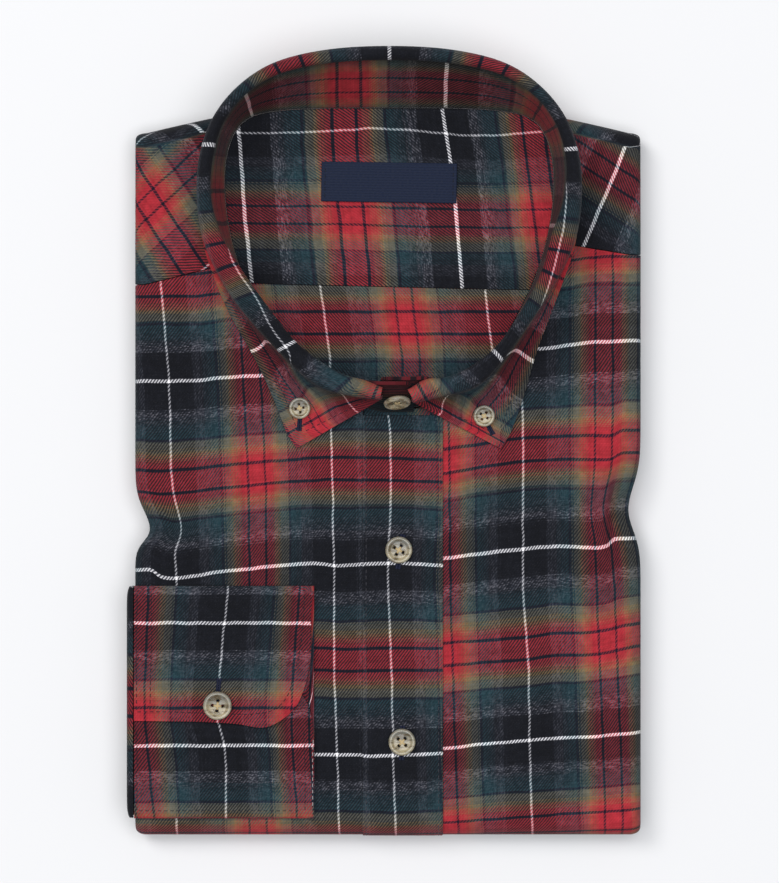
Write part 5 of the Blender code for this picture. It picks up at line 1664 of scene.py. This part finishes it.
BUTTON_THREAD = 0.42 * MM
BUTTON_THREAD_RISE = 0.22 * MM
BUTTON_STRANDS = (-0.3, 0.0, 0.3)    # millimetres aside


def make_thread(name, colour):
    """Matt cotton thread of one colour."""
    made, tree, shader = new_material(name)
    shader.inputs["Base Color"].default_value = (*colour, 1)
    shader.inputs["Roughness"].default_value = 0.6
    shader.inputs["Specular IOR Level"].default_value = 0.3
    return made


def add_stitch(mesh, start, end, up, width=STITCH_WIDTH, rise=STITCH_RISE):
    """Adds one stitch, a short spindle of thread, to a mesh given as (points, faces)."""
    points, faces = mesh
    up = up.normalized()
    side = (end - start).cross(up).normalized() * (width / 2)
    high = up * (width * STITCH_HEIGHT)
    first = len(points)
    points.append(start - up * rise)
    for share in STITCH_FULL:
        middle = start.lerp(end, share) + up * rise
        points += [middle + side, middle + high, middle - side, middle - high]
    points.append(end - up * rise)
    for corner in range(4):
        beside = (corner + 1) % 4
        faces.append((first, first + 1 + corner, first + 1 + beside))
        faces.append((first + 1 + corner, first + 5 + corner, first + 5 + beside, first + 1 + beside))
        faces.append((first + 9, first + 5 + beside, first + 5 + corner))


def add_row(mesh, line, ups):
    """Stitches end to end along a line of points on the cloth."""
    along = distances(line)
    place = STITCH_SPACE
    while place + STITCH < along[-1]:
        add_stitch(mesh, through(along, line, place), through(along, line, place + STITCH),
                   through(along, ups, place + STITCH / 2))
        place += STITCH + STITCH_SPACE


def drawn_on(piece, places):
    """A line on a piece and its normals, drawn from above through places in millimetres."""
    surface = BVHTree.FromObject(piece, bpy.context.evaluated_depsgraph_get())
    corners = [Vector((x * MM, y * MM, RULER_Z)) for x, y in places]
    along = distances(corners)
    line, ups = [], []
    for at in evenly(0.0, along[-1], 1.0 * MM):
        hit, up, face, depth = surface.ray_cast(through(along, corners, at), Vector((0, 0, -1)))
        if hit:
            line.append(hit)
            ups.append(up)
    return line, ups


def add_buttonhole(mesh, hole, piece):
    """Close stitches across both sides of a slit, with a bar at each end."""
    middle = Vector((hole.x, hole.y, 0))
    toward = Vector((hole.toward_x, hole.toward_y, 0)).normalized()
    ends = [middle - toward * hole.length / 2, middle + toward * hole.length / 2]
    line, ups = drawn_on(piece, [(end.x, end.y) for end in ends])
    along = distances(line)
    for at in evenly(0.0, along[-1], HOLE_PITCH):
        point, up = through(along, line, at), through(along, ups, at)
        side = toward.cross(up).normalized() * (HOLE_WIDTH / 2)
        start, end = HOLE_STITCH
        if min(at, along[-1] - at) < HOLE_BAR:
            end = HOLE_BAR_REACH
        for way in (-1, 1):
            add_stitch(mesh, point - side * way * start, point + side * way * end, up, HOLE_THREAD,
                       HOLE_THREAD_RISE)


def leaf_line(rows, distance):
    """The row of stitches inside the leaf's free edges, with its normals."""
    edge_lines, end_lines = ([], []), []
    for station in range(len(rows[0])):
        line = [row[station] for row in rows]
        out = distances(line)
        row = next(index for index, value in enumerate(out) if value > out[-1] - distance)
        reach = distances(rows[row])
        if min(reach[station], reach[-1] - reach[station]) >= distance:
            edge_lines[0].append(through(out, line, out[-1] - distance))
            edge_lines[1].append(surface_up(rows, row, station))
    for rising in (True, False):
        line, ups = [], []
        for row in range(ROLL_POINT * PROFILE_STEPS, len(rows)):
            reach = distances(rows[row])
            at = distance if rising else reach[-1] - distance
            station = next(index for index, value in enumerate(reach) if value >= at)
            out = distances([each[station] for each in rows])
            if out[-1] - out[row] >= distance:
                line.append(through(reach, rows[row], at))
                ups.append(surface_up(rows, row, station))
        end_lines.append((line, ups))
    return [edge_lines] + end_lines


charcoal, grey, pale, navy, cream = (([], []) for _ in range(5))
for line, ups in leaf_line(leaf_rows, LEAF_STITCH):
    add_row(charcoal, line, ups)
for stitch_x in PLACKET_STITCHES:
    seam_rows = [row for row in FRONT_ROWS if row.value < PLACKET_TOP - 1 * MM] + BOTTOM_ROWS
    seam = [packet_point(flat(stitch_x), row, PLACKET_LIFT - STITCH_TROUGH) for row in seam_rows]
    lifted = [packet_point(flat(stitch_x), row, PLACKET_LIFT + MM) for row in seam_rows]
    add_row(grey, seam, [high - low for high, low in zip(lifted, seam)])
for places in CUFF_ROWS:
    add_row(charcoal, *drawn_on(cuff, places))
add_row(pale, *drawn_on(cuff, CUFF_EDGE_ROW))
half_label, half_height = (size / 2 for size in LABEL_SIZE)
for side in (-1, 1):
    ends = [label_place(side * (half_label - LABEL_ROW), way * half_height) for way in (-1, 1)]
    add_row(charcoal, *drawn_on(label, [(x / MM, y / MM) for x, y in ends]))
for hole, piece in BUTTONHOLES:
    add_buttonhole(navy, hole, piece)
for button in BUTTONS:
    facing, turn = facing_of(button)
    reach = BUTTON_HOLE_OFFSET * button.diameter
    level = BUTTON_PROFILE[0][1] * BUTTON_THICK * button.diameter
    for angle in (math.radians(45), math.radians(135)):
        for strand in BUTTON_STRANDS:
            ends = [(Vector(button.place) + turn @ Vector((
                way * math.cos(angle) * reach - strand * math.sin(angle),
                way * math.sin(angle) * reach + strand * math.cos(angle), level))) * MM for way in (-1, 1)]
            add_stitch(cream, *ends, facing, BUTTON_THREAD, BUTTON_THREAD_RISE)
for name, (points, faces), colour in (
        ("charcoal_stitches", charcoal, (0.010, 0.012, 0.020)),
        ("placket_stitches", grey, (0.045, 0.045, 0.055)),
        ("cuff_edge_stitches", pale, (0.42, 0.36, 0.36)),
        ("buttonholes", navy, (0.006, 0.009, 0.030)),
        ("button_thread", cream, (0.48, 0.37, 0.20))):
    smooth_piece(name, points, faces, make_thread(name, colour))

bpy.data.objects.remove(neck_cutter, do_unlink=True)
